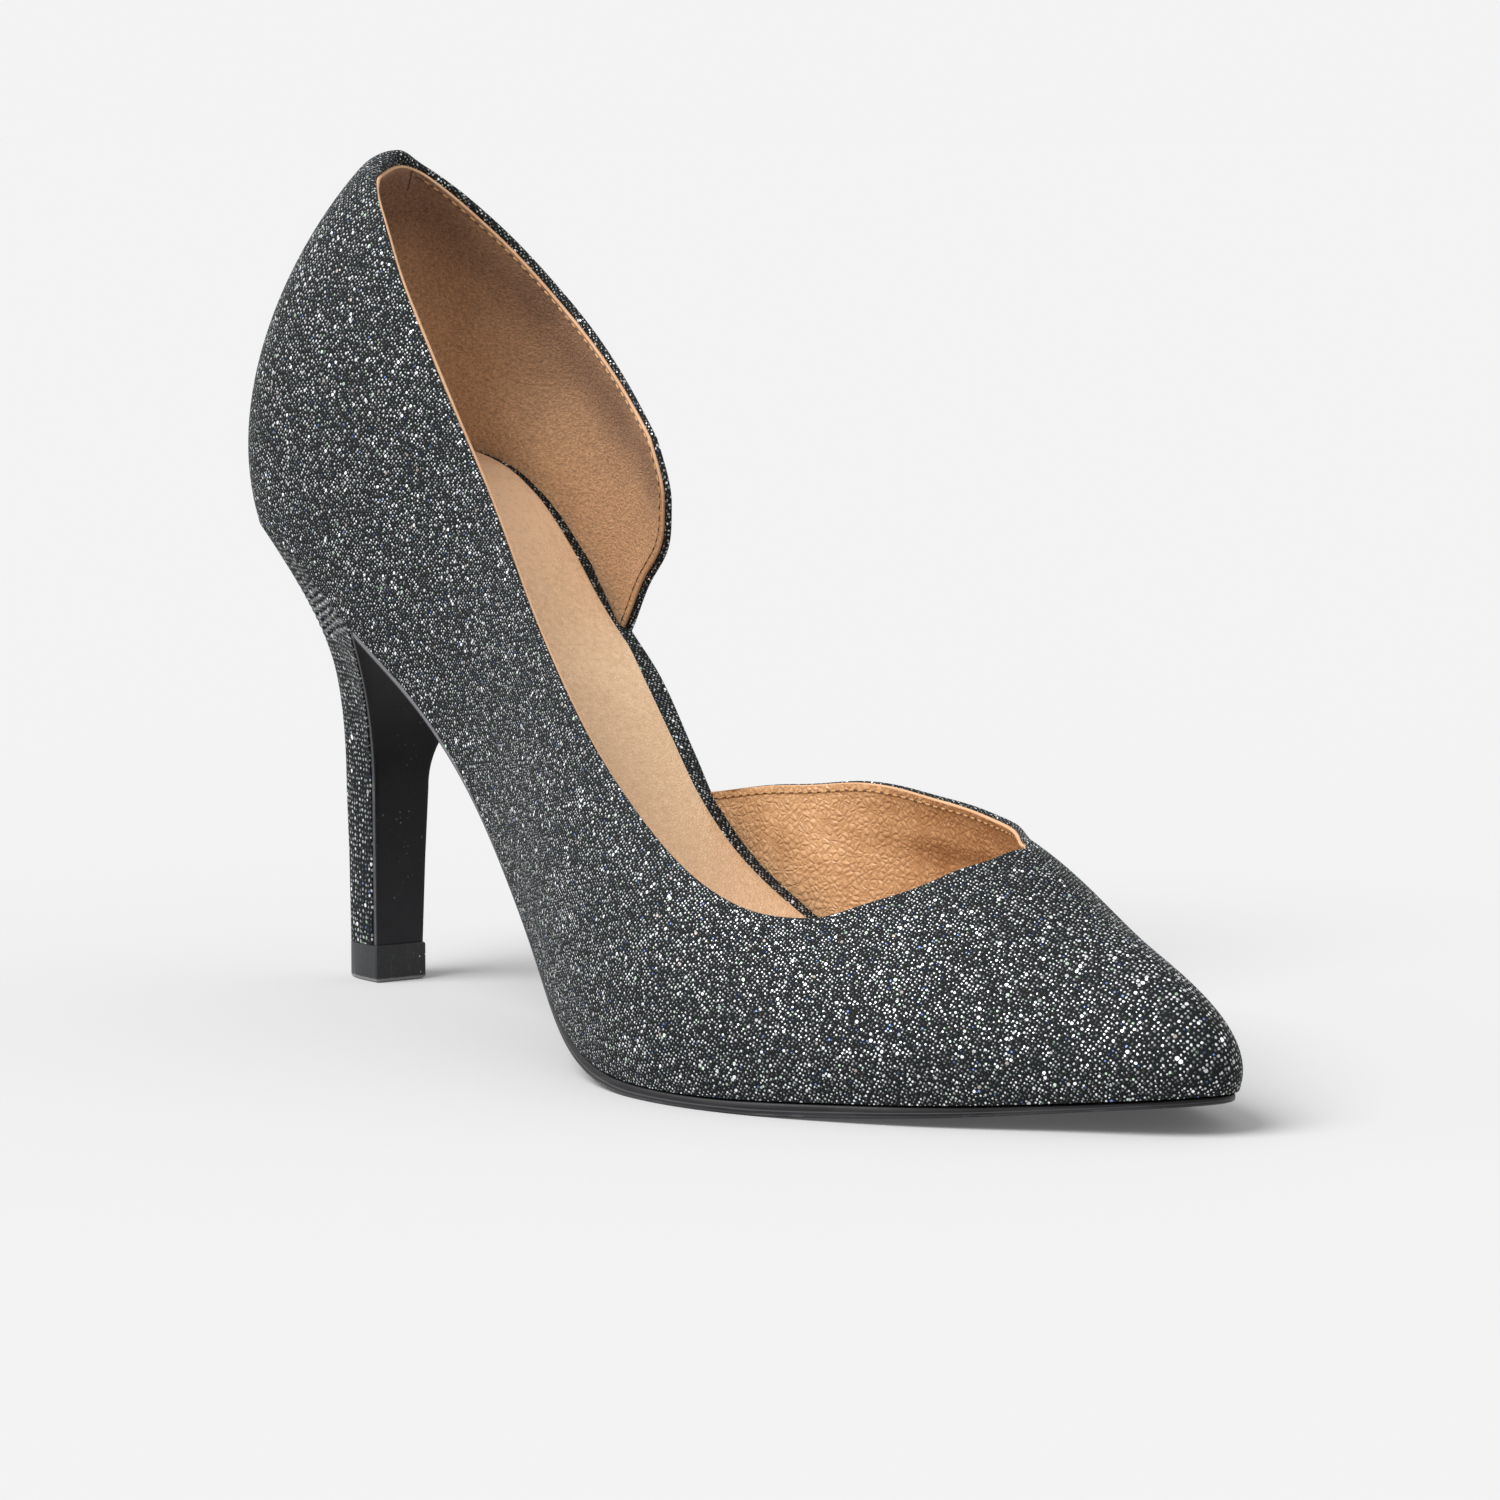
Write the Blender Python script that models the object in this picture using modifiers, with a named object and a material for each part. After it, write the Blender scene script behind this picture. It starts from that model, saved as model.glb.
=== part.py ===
"""Right shoe of a pair: a pointed stiletto pump, closed on its outer side and cut away on its inner side.

Lengths are in millimetres until a mesh is made. X runs from heel to toe, Y to the inner (medial)
side of the foot and Z up; the floor is z = 0.
"""
import math

import bmesh
import bpy
import numpy as np

MM = 0.001

# Driving sizes
HEEL_END = 4.3            # back end of the feather line, where upper and sole meet
TOE_END = 228.0           # front end of the feather line
HEEL_RADIUS = 24.6        # plan radius at the back of the heel seat
TOE_RADIUS = 6.3          # plan radius at the pointed toe
WALL = 1.6                # upper: cloth, stiffener and lining together
GAP = 0.3                 # between pieces that lie against each other
INSOLE_THICK = 3.0
INSOLE_EDGE = 0.4         # rounding of the insole's upper edge
SEAT_PAD = 6.4            # extra height of the insole at the heel seat
SEAT_PAD_ENDS = (22.0, 58.0)
SOCK_THICK = 0.8
RIM_SHOW = 0.8            # further setback of the sock from the insole's bare inner rim
RIM_SHOW_ENDS = (35.0, 75.0)
WAIST_THICK = 1.2         # outsole under the arch
TREAD_THICK = 2.1         # outsole under the ball
TOE_THICK = 1.1           # outsole at the tip of the toe
TREAD_ENDS = (92.0, 128.0)
TOE_ENDS = (175.0, 222.0)
WAIST_INSET = 0.4         # outsole's setback from the feather line under the arch
TOE_INSET = 1.4           # and at the tip of the toe
SOLE_EDGE = 0.5           # rounding of the outsole's lower edge
THROAT_X = 196.0          # rib at which the opening closes to the point of the V
QUARTER_FOOT = 54.5       # feather station where the inner quarter ends
VAMP_FOOT = 83.5          # feather station where the inner side of the vamp begins
RIM_BACK = (2.1, 4.1)     # the bare rim comes out over this stretch ahead of the quarter
RIM_FRONT = (2.6, 0.8)    # and goes in again over this stretch behind the vamp
BREAST_X = 47.0           # feather station of the heel's front face
SHANK_LAP = 1.2           # start of the outsole ahead of the heel's front face
BREAST_COVER = 0.8
COVER_SIDE = 0.15         # setback of the breast cover from the heel's edges
COVER_END = 0.55          # share of the last step up to the seat that it covers

# The last, a row for each station along the foot
PLAN = """x lateral medial
12 19.2 17.4
29 26.8 26
49 25.6 26
74 22.4 22.6
99 26.7 22.7
120 33.9 28.5
138 38.3 33.3
154 39.2 35.8
170 36 34
185 30 28.2
201 21.6 21.5
214 13.1 15.2"""
AXIS = """x y
0 0
124 0
175 -0.5
228 8.6"""
FEATHER = """x z
4.3 85.4
15 80.4
31 75
46 64.6
62 53
77 39.6
93 25.4
108 15.7
124 7.1
139 3.1
154 2.2
170 2.3
185 2.9
201 3.6
228 6.1"""
RIDGE = """x z
20 149.7
36 148.4
56 147.5
77 132.4
98 108.9
118 88
139 69.3
160 54.6
176 45.1
191 39.4
203 31.2
214 25
220 21.5"""
RIB = """x setback flare rise spread
4.3 -31.5 19 0.43 0.40
15 -27 17 0.44 0.44
31 -17 14 0.46 0.48
62 -12 9 0.50 0.58
103 -7 8.5 0.52 0.56
134 -3 11.5 0.51 0.51
160 0 14 0.48 0.45
192 3.5 14 0.41 0.3
211 6.3 16 0.43 0.35
228 10.5 21 0.48 0.41"""

# How far up its rib the wall reaches: 0 at the feather line, 1 at the ridge
LATERAL_TOP = """x share
4.3 0.714
20 0.668
36 0.62
51 0.512
58 0.469
64 0.439
70 0.419
80 0.402
94 0.392
115 0.413
137 0.433
147 0.426
162 0.411
168 0.42
173 0.444
177 0.476
180.5 0.526
184.5 0.585
188.5 0.666
191.3 0.745
194 0.84
196 1"""
VAMP_TOP = """x share
83.5 0.022
91 0.085
99 0.145
108 0.206
117 0.274
126 0.333
135 0.38
145 0.43
155 0.48
165 0.555
175 0.65
183 0.735
189 0.83
193.5 0.935
196 1"""
QUARTER_TOP = """x share
4.3 0.714
9 0.664
16 0.591
25 0.504
32 0.441
40 0.393
48 0.367
56 0.352
63 0.344
70 0.34"""
QUARTER_FRONT = """up x
0 54.5
0.07 55.7
0.33 60
0.51 64.3
0.67 67.2
0.8 68
0.92 67.4
1 64"""

# Level sections of the heel below its seat
STEM = """z front half depth
6.6 22.8 4.95 10.1
21 23.2 5.3 10.6
33 23.7 5.7 11.5"""
STEM_FULLNESS = 3.0       # 2 is an ellipse, more is squarer
KNEE = 0.45               # height of the flare's knee between stem and seat
KNEE_RISE = 0.9           # pull of the knee on the stem below it
KNEE_PULL = 0.6           # and on the seat above it
TOP_PIECE = {"front": 24.5, "half": 5.05, "depth": 11.9, "high": 6.3, "edge": 0.4}

# Fineness of the surfaces
WALL_ROWS = 11
QUARTER_COLUMNS = 17
BACK_COLUMNS = 44
TOE_COLUMNS = 15
VAMP_COLUMNS = 27
SOLE_STATIONS = 50
INSOLE_STATIONS = 56
HEEL_COLUMNS = 14
HEEL_ROWS = 12
TIP_COLUMNS = 25

COLOURS = {
    "upper": ((0.055, 0.056, 0.062), 0.45, 0.35),
    "outsole": ((0.02, 0.02, 0.021), 0.5, 0.0),
    "insole": ((0.055, 0.056, 0.062), 0.45, 0.35),
    "sock": ((0.70, 0.43, 0.22), 0.55, 0.0),
    "heel": ((0.055, 0.056, 0.062), 0.45, 0.35),
    "breast_cover": ((0.012, 0.012, 0.013), 0.35, 0.0),
    "top_piece": ((0.02, 0.02, 0.021), 0.45, 0.0),
}


def columns(text):
    """Read a table into a dictionary from column name to values."""
    head, *rows = text.splitlines()
    values = np.array([[float(word) for word in row.split()] for row in rows])
    return dict(zip(head.split(), values.T))


def spline(xs, ys):
    """Natural cubic spline through the given points, held level beyond its ends."""
    count = len(xs)
    step = np.diff(xs)
    matrix = np.eye(count)
    right = np.zeros(count)
    for i in range(1, count - 1):
        matrix[i, i - 1:i + 2] = step[i - 1], 2 * (step[i - 1] + step[i]), step[i]
        right[i] = 6 * ((ys[i + 1] - ys[i]) / step[i] - (ys[i] - ys[i - 1]) / step[i - 1])
    bend = np.linalg.solve(matrix, right)

    def read(x):
        x = np.clip(np.asarray(x, float), xs[0], xs[-1])
        i = np.clip(np.searchsorted(xs, x) - 1, 0, count - 2)
        low, high, h = x - xs[i], xs[i + 1] - x, step[i]
        curve = (bend[i] * high ** 3 + bend[i + 1] * low ** 3) / (6 * h)
        return curve + (ys[i] / h - bend[i] * h / 6) * high + (ys[i + 1] / h - bend[i + 1] * h / 6) * low

    return read


def profile(text, name):
    table = columns(text)
    first = next(iter(table.values()))
    return spline(first, table[name])


def width_profile(side):
    """Half width over the half ellipse that ends in the heel and toe radii."""
    table = columns(PLAN)
    length = TOE_END - HEEL_END
    share = (table["x"] - HEEL_END) / length
    ratio = table[side] / (2 * np.sqrt(share * (1 - share)))
    ends = [math.sqrt(radius * length / 2) for radius in (HEEL_RADIUS, TOE_RADIUS)]
    return spline(np.r_[HEEL_END, table["x"], TOE_END], np.r_[ends[0], ratio, ends[1]])


LATERAL, MEDIAL = -1, 1
half_width = {LATERAL: width_profile("lateral"), MEDIAL: width_profile("medial")}
axis_y = profile(AXIS, "y")
feather_z = profile(FEATHER, "z")
ridge_z = profile(RIDGE, "z")
setback = profile(RIB, "setback")
flare = profile(RIB, "flare")
rise = profile(RIB, "rise")
spread = profile(RIB, "spread")


def station(x):
    """Turn along the outline, 0 at the heel and pi at the toe, for a feather station."""
    return np.arccos(1 - 2 * (np.asarray(x, float) - HEEL_END) / (TOE_END - HEEL_END))


def feather_x(turn):
    return HEEL_END + (TOE_END - HEEL_END) * (1 - np.cos(turn)) / 2


def outline(turn, side, inset=0.0):
    """Plan of the last's edge, moved inward by inset."""
    def edge(angle):
        x = feather_x(angle)
        return np.stack([x, axis_y(x) + side * half_width[side](x) * np.sin(angle)], -1)

    small = 1e-4
    along = edge(turn + small) - edge(turn - small)
    normal = np.stack([-along[..., 1], along[..., 0]], -1) * side
    normal /= np.linalg.norm(normal, axis=-1, keepdims=True)
    return edge(turn) - normal * np.asarray(inset)[..., None], normal


def rib(turn, share, side):
    """Point of the last's surface, share of the way up the rib from feather line to ridge."""
    plan, normal = outline(turn, side)
    x = plan[..., 0]
    foot = np.concatenate([plan, feather_z(x)[..., None]], -1)
    top_x = x - setback(x)
    top = np.stack([top_x, axis_y(top_x), ridge_z(top_x)], -1)
    slope = ridge_z(top_x + 0.5) - ridge_z(top_x - 0.5)
    reach = foot[..., :2] - top[..., :2]
    span = np.linalg.norm(reach, axis=-1)
    toward = reach / np.maximum(span, 1e-6)[..., None]
    lean = np.radians(flare(x))
    rising = np.stack([normal[..., 0] * np.sin(lean), normal[..., 1] * np.sin(lean), np.cos(lean)], -1)
    lower = foot + rising * (rise(x) * (top[..., 2] - foot[..., 2]))[..., None]
    falling = np.stack([toward[..., 0], toward[..., 1], slope * toward[..., 0]], -1)
    upper = top + falling * (spread(x) * span)[..., None]
    v = np.asarray(share)[..., None]
    return (1 - v) ** 3 * foot + 3 * (1 - v) ** 2 * v * lower + 3 * (1 - v) * v ** 2 * upper + v ** 3 * top


def wall_lean(x, height, side):
    """How far the wall has leaned outward at a height above each feather station."""
    shares = np.linspace(0, 0.4, 17)
    lean = []
    for turn, up in zip(station(x), height):
        points = rib(np.full_like(shares, turn), shares, side)
        _, normal = outline(turn, side)
        away = (points[:, :2] - points[0, :2]) @ normal
        lean.append(np.interp(up, points[:, 2] - points[0, 2], away))
    return np.array(lean)


def loft(rows, mesh, closed=False):
    """Skin neighbouring rows of points with quads and return the rows of vertices."""
    rows = [[mesh.verts.new(point * MM) for point in row] for row in rows]
    for low, high in zip(rows, rows[1:]):
        around = range(len(low) if closed else len(low) - 1)
        for i in around:
            j = (i + 1) % len(low)
            mesh.faces.new((low[i], low[j], high[j], high[i]))
    return rows


def ladder(loop, mesh):
    """Fill a closed loop of vertices, symmetric about its ends, with rungs."""
    count = len(loop)
    for i in range((count - 1) // 2):
        quad = (loop[i], loop[i + 1], loop[count - 2 - i], loop[count - 1 - i])
        mesh.faces.new(dict.fromkeys(quad))


def add_object(name, mesh, smooth_angle=40):
    """Close the bmesh into a named object with its own material."""
    bmesh.ops.remove_doubles(mesh, verts=mesh.verts, dist=1e-6)
    bmesh.ops.recalc_face_normals(mesh, faces=mesh.faces)
    data = bpy.data.meshes.new(name)
    mesh.to_mesh(data)
    mesh.free()
    data.shade_smooth()
    data.set_sharp_from_angle(angle=math.radians(smooth_angle))
    colour, rough, metal = COLOURS[name]
    material = bpy.data.materials.new(name)
    material.use_nodes = True
    shader = material.node_tree.nodes["Principled BSDF"]
    shader.inputs["Base Color"].default_value = (*colour, 1)
    shader.inputs["Roughness"].default_value = rough
    shader.inputs["Metallic"].default_value = metal
    data.materials.append(material)
    piece = bpy.data.objects.new(name, data)
    shoe.objects.link(piece)
    return piece


def build_upper():
    """Outer side, counter and vamp as one wall, open at collar, V throat, inner waist and underside."""
    rows_up = np.linspace(0, 1, WALL_ROWS)
    lateral_top = profile(LATERAL_TOP, "share")
    vamp_top = profile(VAMP_TOP, "share")
    quarter_top = profile(QUARTER_TOP, "share")
    quarter_front = profile(QUARTER_FRONT, "x")

    def wall(turn, top, side):
        x = feather_x(turn)
        share = np.where(x < THROAT_X, top(x), 1.0)
        return [rib(np.full_like(rows_up, a), rows_up * s, side) for a, s in zip(turn, share)]

    def quarter(part):
        turn = station(HEEL_END) + part * (station(quarter_front(rows_up)) - station(HEEL_END))
        return rib(turn, rows_up * quarter_top(feather_x(turn)), MEDIAL)

    throat = station(THROAT_X)
    back_to_throat = np.linspace(0, throat, BACK_COLUMNS)
    throat_to_toe = np.linspace(throat, math.pi, TOE_COLUMNS)
    waist_to_throat = np.linspace(station(VAMP_FOOT), throat, VAMP_COLUMNS)
    lateral = np.r_[back_to_throat, throat_to_toe[1:]]
    medial = np.r_[waist_to_throat, throat_to_toe[1:]]

    mesh = bmesh.new()
    loft([quarter(part) for part in np.linspace(1, 0, QUARTER_COLUMNS)], mesh)
    loft(wall(lateral, lateral_top, LATERAL), mesh)
    loft(wall(medial[::-1], vamp_top, MEDIAL), mesh)
    upper = add_object("upper", mesh)
    shell = upper.modifiers.new("wall", "SOLIDIFY")
    shell.thickness = WALL * MM
    shell.offset = -1
    shell.use_even_offset = True


def slab_loop(turn, level, lateral_inset, medial_inset):
    """Closed loop round the foot between two stations, at a height that follows the feather line."""
    x = feather_x(turn)
    out, _ = outline(turn, LATERAL, lateral_inset(x))
    home, _ = outline(turn[::-1], MEDIAL, medial_inset(x[::-1]))
    plan = np.concatenate([out, home])
    return np.c_[plan, level(plan[:, 0])]


def build_slab(name, turn, levels, insets):
    """A sheet that follows the foot: loops from its underside to its top, each with its own inset."""
    mesh = bmesh.new()
    loops = [slab_loop(turn, level, *inset) for level, inset in zip(levels, insets)]
    rows = loft(loops, mesh, closed=True)
    ladder(rows[0], mesh)
    ladder(rows[-1], mesh)
    add_object(name, mesh)


def ease(x, start, end):
    part = np.clip((x - start) / (end - start), 0, 1)
    return part * part * (3 - 2 * part)


def build_outsole():
    """Thin under the arch, thicker under the ball, with a flat spot on the floor and a toe spring."""
    def top(x):
        return feather_z(x) - GAP

    def tread(x):
        thick = WAIST_THICK + (TREAD_THICK - WAIST_THICK) * ease(x, *TREAD_ENDS)
        thick += (TOE_THICK - TREAD_THICK) * ease(x, *TOE_ENDS)
        return np.maximum(top(x) - thick, 0)

    def side(x):
        return WAIST_INSET * (1 - ease(x, *TREAD_ENDS)) + TOE_INSET * ease(x, *TOE_ENDS)

    def bottom(x):
        return side(x) + SOLE_EDGE

    turn = np.linspace(station(BREAST_X + SHANK_LAP), math.pi, SOLE_STATIONS)
    build_slab(
        "outsole", turn,
        [tread, lambda x: tread(x) + SOLE_EDGE, top],
        [(bottom, bottom), (side, side), (side, side)],
    )


def insole_thick(x):
    return INSOLE_THICK + SEAT_PAD * (1 - ease(x, *SEAT_PAD_ENDS))


def insole_turns():
    """Stations round the insole, closer where its rim comes out and goes in."""
    back = np.linspace(*RIM_BACK, 3) + QUARTER_FOOT
    front = VAMP_FOOT - np.linspace(*RIM_FRONT, 3)
    return np.sort(np.r_[np.linspace(0, math.pi, INSOLE_STATIONS), station(back), station(front)])


def build_insole():
    """Board with a seat pad, inside the wall; its rim comes out flush where the inner waist is cut away."""
    beside_wall = WALL + 2 * GAP

    def bare(x):
        start = ease(x, QUARTER_FOOT + RIM_BACK[0], QUARTER_FOOT + RIM_BACK[1])
        return start - ease(x, VAMP_FOOT - RIM_FRONT[0], VAMP_FOOT - RIM_FRONT[1])

    def side(below, setback):
        def inset(x, side):
            lean = wall_lean(x, insole_thick(x) - below, side) if below is not None else 0
            return beside_wall - lean + setback

        return (lambda x: inset(x, LATERAL), lambda x: inset(x, MEDIAL) * (1 - bare(x)) + setback * bare(x))

    def top(x):
        return feather_z(x) + insole_thick(x)

    build_slab(
        "insole", insole_turns(),
        [feather_z, lambda x: top(x) - INSOLE_EDGE, top],
        [side(None, 0), side(INSOLE_EDGE, 0), side(0, INSOLE_EDGE)],
    )


def build_sock():
    """Sock lining laid on the insole, set back from the inner rim."""
    beside_wall = WALL + 3 * GAP

    def low(x):
        return feather_z(x) + insole_thick(x) + GAP

    def high(x):
        return low(x) + SOCK_THICK

    def lateral(x):
        return beside_wall - wall_lean(x, insole_thick(x), LATERAL)

    def medial(x):
        return beside_wall - wall_lean(x, insole_thick(x), MEDIAL) + RIM_SHOW * ease(x, *RIM_SHOW_ENDS)

    build_slab("sock", insole_turns(), [low, high], [(lateral, medial)] * 2)


def d_section(front, half, depth, angles):
    """Straight front and rounded back, read by polar angle about the middle of the front."""
    back, aside = np.cos(angles), np.sin(angles)
    power = STEM_FULLNESS
    radius = (np.abs(back / depth) ** power + np.abs(aside / half) ** power) ** (-1 / power)
    return np.stack([front - radius * back, radius * aside], -1)


def heel_ribs():
    """Lines down the heel's skin: from each point of the seat, round the knee and down the stem."""
    stem = columns(STEM)
    side_turns = np.linspace(station(BREAST_X), 0, HEEL_COLUMNS)
    seat = []
    for side, turn in ((LATERAL, side_turns), (MEDIAL, side_turns[-2::-1])):
        plan, _ = outline(turn, side)
        seat.append(np.c_[plan, feather_z(plan[:, 0]) - GAP])
    seat = np.concatenate(seat)
    angles = np.linspace(-math.pi / 2, math.pi / 2, len(seat))
    levels = []
    for z, front, half, depth in zip(*stem.values()):
        levels.append(np.c_[d_section(front, half, depth, angles), np.full(len(seat), z)])
    waist = levels[-1]
    knee = waist.copy()
    knee[:, 2] += KNEE * (seat[:, 2] - waist[:, 2])
    first = waist + KNEE_RISE * (knee - waist)
    second = seat + KNEE_PULL * (knee - seat)
    for v in np.linspace(0, 1, HEEL_ROWS)[1:]:
        levels.append((1 - v) ** 3 * waist + 3 * (1 - v) ** 2 * v * first
                      + 3 * (1 - v) * v ** 2 * second + v ** 3 * seat)
    return levels


def build_heel():
    """Covered stem flaring into the seat, with a hollowed front face."""
    mesh = bmesh.new()
    rows = loft(heel_ribs(), mesh, closed=True)
    ladder(rows[0], mesh)
    ladder(rows[-1], mesh)
    add_object("heel", mesh, smooth_angle=35)


def build_breast_cover():
    """Thin sheet down the heel's front face, from under the outsole to the top piece."""
    levels = heel_ribs()
    front = np.array([level[-1] for level in levels[:-1]])
    last = levels[-2][-1] + COVER_END * (levels[-1][-1] - levels[-2][-1])
    front = np.vstack([front, last])
    along = np.gradient(front[:, [0, 2]], axis=0)
    normal = np.c_[along[:, 1], -along[:, 0]] / np.linalg.norm(along, axis=1)[:, None]
    rows = []
    for point, (ahead, up) in zip(front, normal):
        near = point + GAP * np.array([ahead, 0, up])
        far = near + BREAST_COVER * np.array([ahead, 0, up])
        width = np.array([0, COVER_SIDE, 0])
        left = np.array([1, -1, 1])
        rows.append([near - width, far - width, (far - width) * left, (near - width) * left])
    mesh = bmesh.new()
    rows = loft(rows, mesh, closed=True)
    mesh.faces.new(rows[0])
    mesh.faces.new(rows[-1])
    add_object("breast_cover", mesh)


def build_top_piece():
    """The lift that meets the floor, a little proud of the stem."""
    edge = TOP_PIECE["edge"]
    angles = np.linspace(-math.pi / 2, math.pi / 2, TIP_COLUMNS)
    levels = []
    for z, inset in ((0, edge), (edge, 0), (TOP_PIECE["high"], 0)):
        plan = d_section(TOP_PIECE["front"] - inset, TOP_PIECE["half"] - inset,
                         TOP_PIECE["depth"] - 2 * inset, angles)
        levels.append(np.c_[plan, np.full(len(plan), z)])
    mesh = bmesh.new()
    rows = loft(levels, mesh, closed=True)
    ladder(rows[0], mesh)
    ladder(rows[-1], mesh)
    add_object("top_piece", mesh)


def stand_on_origin():
    """Move the whole shoe so that its box stands centred on the origin, sole on the floor."""
    bpy.context.view_layer.update()
    corners = []
    for piece in shoe.objects:
        data = piece.evaluated_get(bpy.context.evaluated_depsgraph_get()).to_mesh()
        corners.extend(tuple(vertex.co) for vertex in data.vertices)
    low, high = np.min(corners, axis=0), np.max(corners, axis=0)
    for piece in shoe.objects:
        for vertex in piece.data.vertices:
            vertex.co.x -= (low[0] + high[0]) / 2
            vertex.co.y -= (low[1] + high[1]) / 2


for old in list(bpy.data.objects):
    bpy.data.objects.remove(old)
shoe = bpy.data.collections.new("stiletto_heel")
bpy.context.scene.collection.children.link(shoe)

build_upper()
build_outsole()
build_insole()
build_sock()
build_heel()
build_breast_cover()
build_top_piece()
stand_on_origin()
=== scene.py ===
import math

import bmesh
import bpy
import numpy as np
from mathutils import Matrix, Vector


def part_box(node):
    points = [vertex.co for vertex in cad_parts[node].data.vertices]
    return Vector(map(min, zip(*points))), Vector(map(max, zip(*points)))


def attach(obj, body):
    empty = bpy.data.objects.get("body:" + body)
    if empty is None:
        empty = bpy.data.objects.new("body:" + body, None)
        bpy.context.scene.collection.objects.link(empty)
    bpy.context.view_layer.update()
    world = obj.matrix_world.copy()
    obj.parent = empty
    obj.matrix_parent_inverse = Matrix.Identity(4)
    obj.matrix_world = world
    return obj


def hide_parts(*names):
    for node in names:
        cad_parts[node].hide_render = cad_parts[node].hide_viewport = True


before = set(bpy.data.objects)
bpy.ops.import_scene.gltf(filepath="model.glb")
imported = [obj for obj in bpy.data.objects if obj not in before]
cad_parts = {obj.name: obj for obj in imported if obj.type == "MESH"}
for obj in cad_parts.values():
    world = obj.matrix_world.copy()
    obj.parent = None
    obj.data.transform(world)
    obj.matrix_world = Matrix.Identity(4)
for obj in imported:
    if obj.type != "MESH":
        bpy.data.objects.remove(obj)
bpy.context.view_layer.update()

bpy.context.scene.view_settings.view_transform = "Standard"
lateral, medial = -1, 1    # outer and inner side of the right foot

# the last in millimetres: x from heel to toe, y to the inner side, z up from the floor
last = {
    "heelEnd": 4.3,
    "toeEnd": 228.0,
    "heelRadius": 24.6,
    "toeRadius": 6.3,
    "plan": """x lateral medial
12 19.2 17.4
29 26.8 26
49 25.6 26
74 22.4 22.6
99 26.7 22.7
120 33.9 28.5
138 38.3 33.3
154 39.2 35.8
170 36 34
185 30 28.2
201 21.6 21.5
214 13.1 15.2""",
    "axis": """x y
0 0
124 0
175 -0.5
228 8.6""",
    "feather": """x z
4.3 85.4
15 80.4
31 75
46 64.6
62 53
77 39.6
93 25.4
108 15.7
124 7.1
139 3.1
154 2.2
170 2.3
185 2.9
201 3.6
228 6.1""",
    "ridge": """x z
20 149.7
36 148.4
56 147.5
77 132.4
98 108.9
118 88
139 69.3
160 54.6
176 45.1
191 39.4
203 31.2
214 25
220 21.5""",
    "rib": """x setback flare rise spread
4.3 -31.5 19 0.43 0.40
15 -27 17 0.44 0.44
31 -17 14 0.46 0.48
62 -12 9 0.50 0.58
103 -7 8.5 0.52 0.56
134 -3 11.5 0.51 0.51
160 0 14 0.48 0.45
192 3.5 14 0.41 0.3
211 6.3 16 0.43 0.35
228 10.5 21 0.48 0.41""",
}


def readTable(text):
    head, *rows = text.splitlines()
    values = np.array([[float(word) for word in row.split()] for row in rows])
    return dict(zip(head.split(), values.T))


# natural cubic curve through the points, level beyond its ends
def bend(xs, ys):
    count = len(xs)
    step = np.diff(xs)
    matrix = np.eye(count)
    right = np.zeros(count)
    for i in range(1, count - 1):
        matrix[i, i - 1:i + 2] = step[i - 1], 2 * (step[i - 1] + step[i]), step[i]
        right[i] = 6 * ((ys[i + 1] - ys[i]) / step[i] - (ys[i] - ys[i - 1]) / step[i - 1])
    pull = np.linalg.solve(matrix, right)

    def read(x):
        x = np.clip(np.asarray(x, float), xs[0], xs[-1])
        i = np.clip(np.searchsorted(xs, x) - 1, 0, count - 2)
        low, high, h = x - xs[i], xs[i + 1] - x, step[i]
        curve = (pull[i] * high ** 3 + pull[i + 1] * low ** 3) / (6 * h)
        return curve + (ys[i] / h - pull[i] * h / 6) * high + (ys[i + 1] / h - pull[i + 1] * h / 6) * low

    return read


def bendTable(text, name):
    table = readTable(text)
    return bend(next(iter(table.values())), table[name])


# half width, as a share of the half ellipse that ends in the heel and toe radii
def widthBend(side):
    table = readTable(last["plan"])
    length = last["toeEnd"] - last["heelEnd"]
    share = (table["x"] - last["heelEnd"]) / length
    ratio = table[side] / (2 * np.sqrt(share * (1 - share)))
    ends = [math.sqrt(last[radius] * length / 2) for radius in ("heelRadius", "toeRadius")]
    return bend(np.r_[last["heelEnd"], table["x"], last["toeEnd"]], np.r_[ends[0], ratio, ends[1]])


halfWidth = {lateral: widthBend("lateral"), medial: widthBend("medial")}
axisY = bendTable(last["axis"], "y")
featherZ = bendTable(last["feather"], "z")
ridgeZ = bendTable(last["ridge"], "z")
ribSetback, ribFlare, ribRise, ribSpread = (
    bendTable(last["rib"], name) for name in ("setback", "flare", "rise", "spread"))


def unit(vectors):
    return vectors / np.maximum(np.linalg.norm(vectors, axis=-1, keepdims=True), 1e-9)


def ease(x, start, end):
    part = np.clip((np.asarray(x, float) - start) / (end - start), 0, 1)
    return part * part * (3 - 2 * part)


# rises between the first two of four stations, falls between the last two
def stretch(x, ends):
    start, full, fade, end = ends
    return ease(x, start, full) * (1 - ease(x, fade, end))


def cubic(v, first, second, third, fourth):
    w = 1 - v
    return w ** 3 * first + 3 * w ** 2 * v * second + 3 * w * v ** 2 * third + v ** 3 * fourth


# length run along one axis of a grid of points
def runAlong(points, axis=0):
    run = np.cumsum(np.linalg.norm(np.diff(points, axis=axis), axis=-1), axis=axis)
    return np.concatenate([np.zeros_like(np.take(run, [0], axis)), run], axis)


def resample(run, values, spots):
    return np.stack([np.interp(spots, run, column) for column in values.T], 1)


# radius of a rounded box in each direction
def boxRadius(ahead, aside, depth, half, power):
    return (np.abs(ahead / depth) ** power + np.abs(aside / half) ** power) ** (-1 / power)


# turn round the outline: 0 at the heel, pi at the toe
def station(x):
    return np.arccos(1 - 2 * (np.asarray(x, float) - last["heelEnd"]) / (last["toeEnd"] - last["heelEnd"]))


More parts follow.
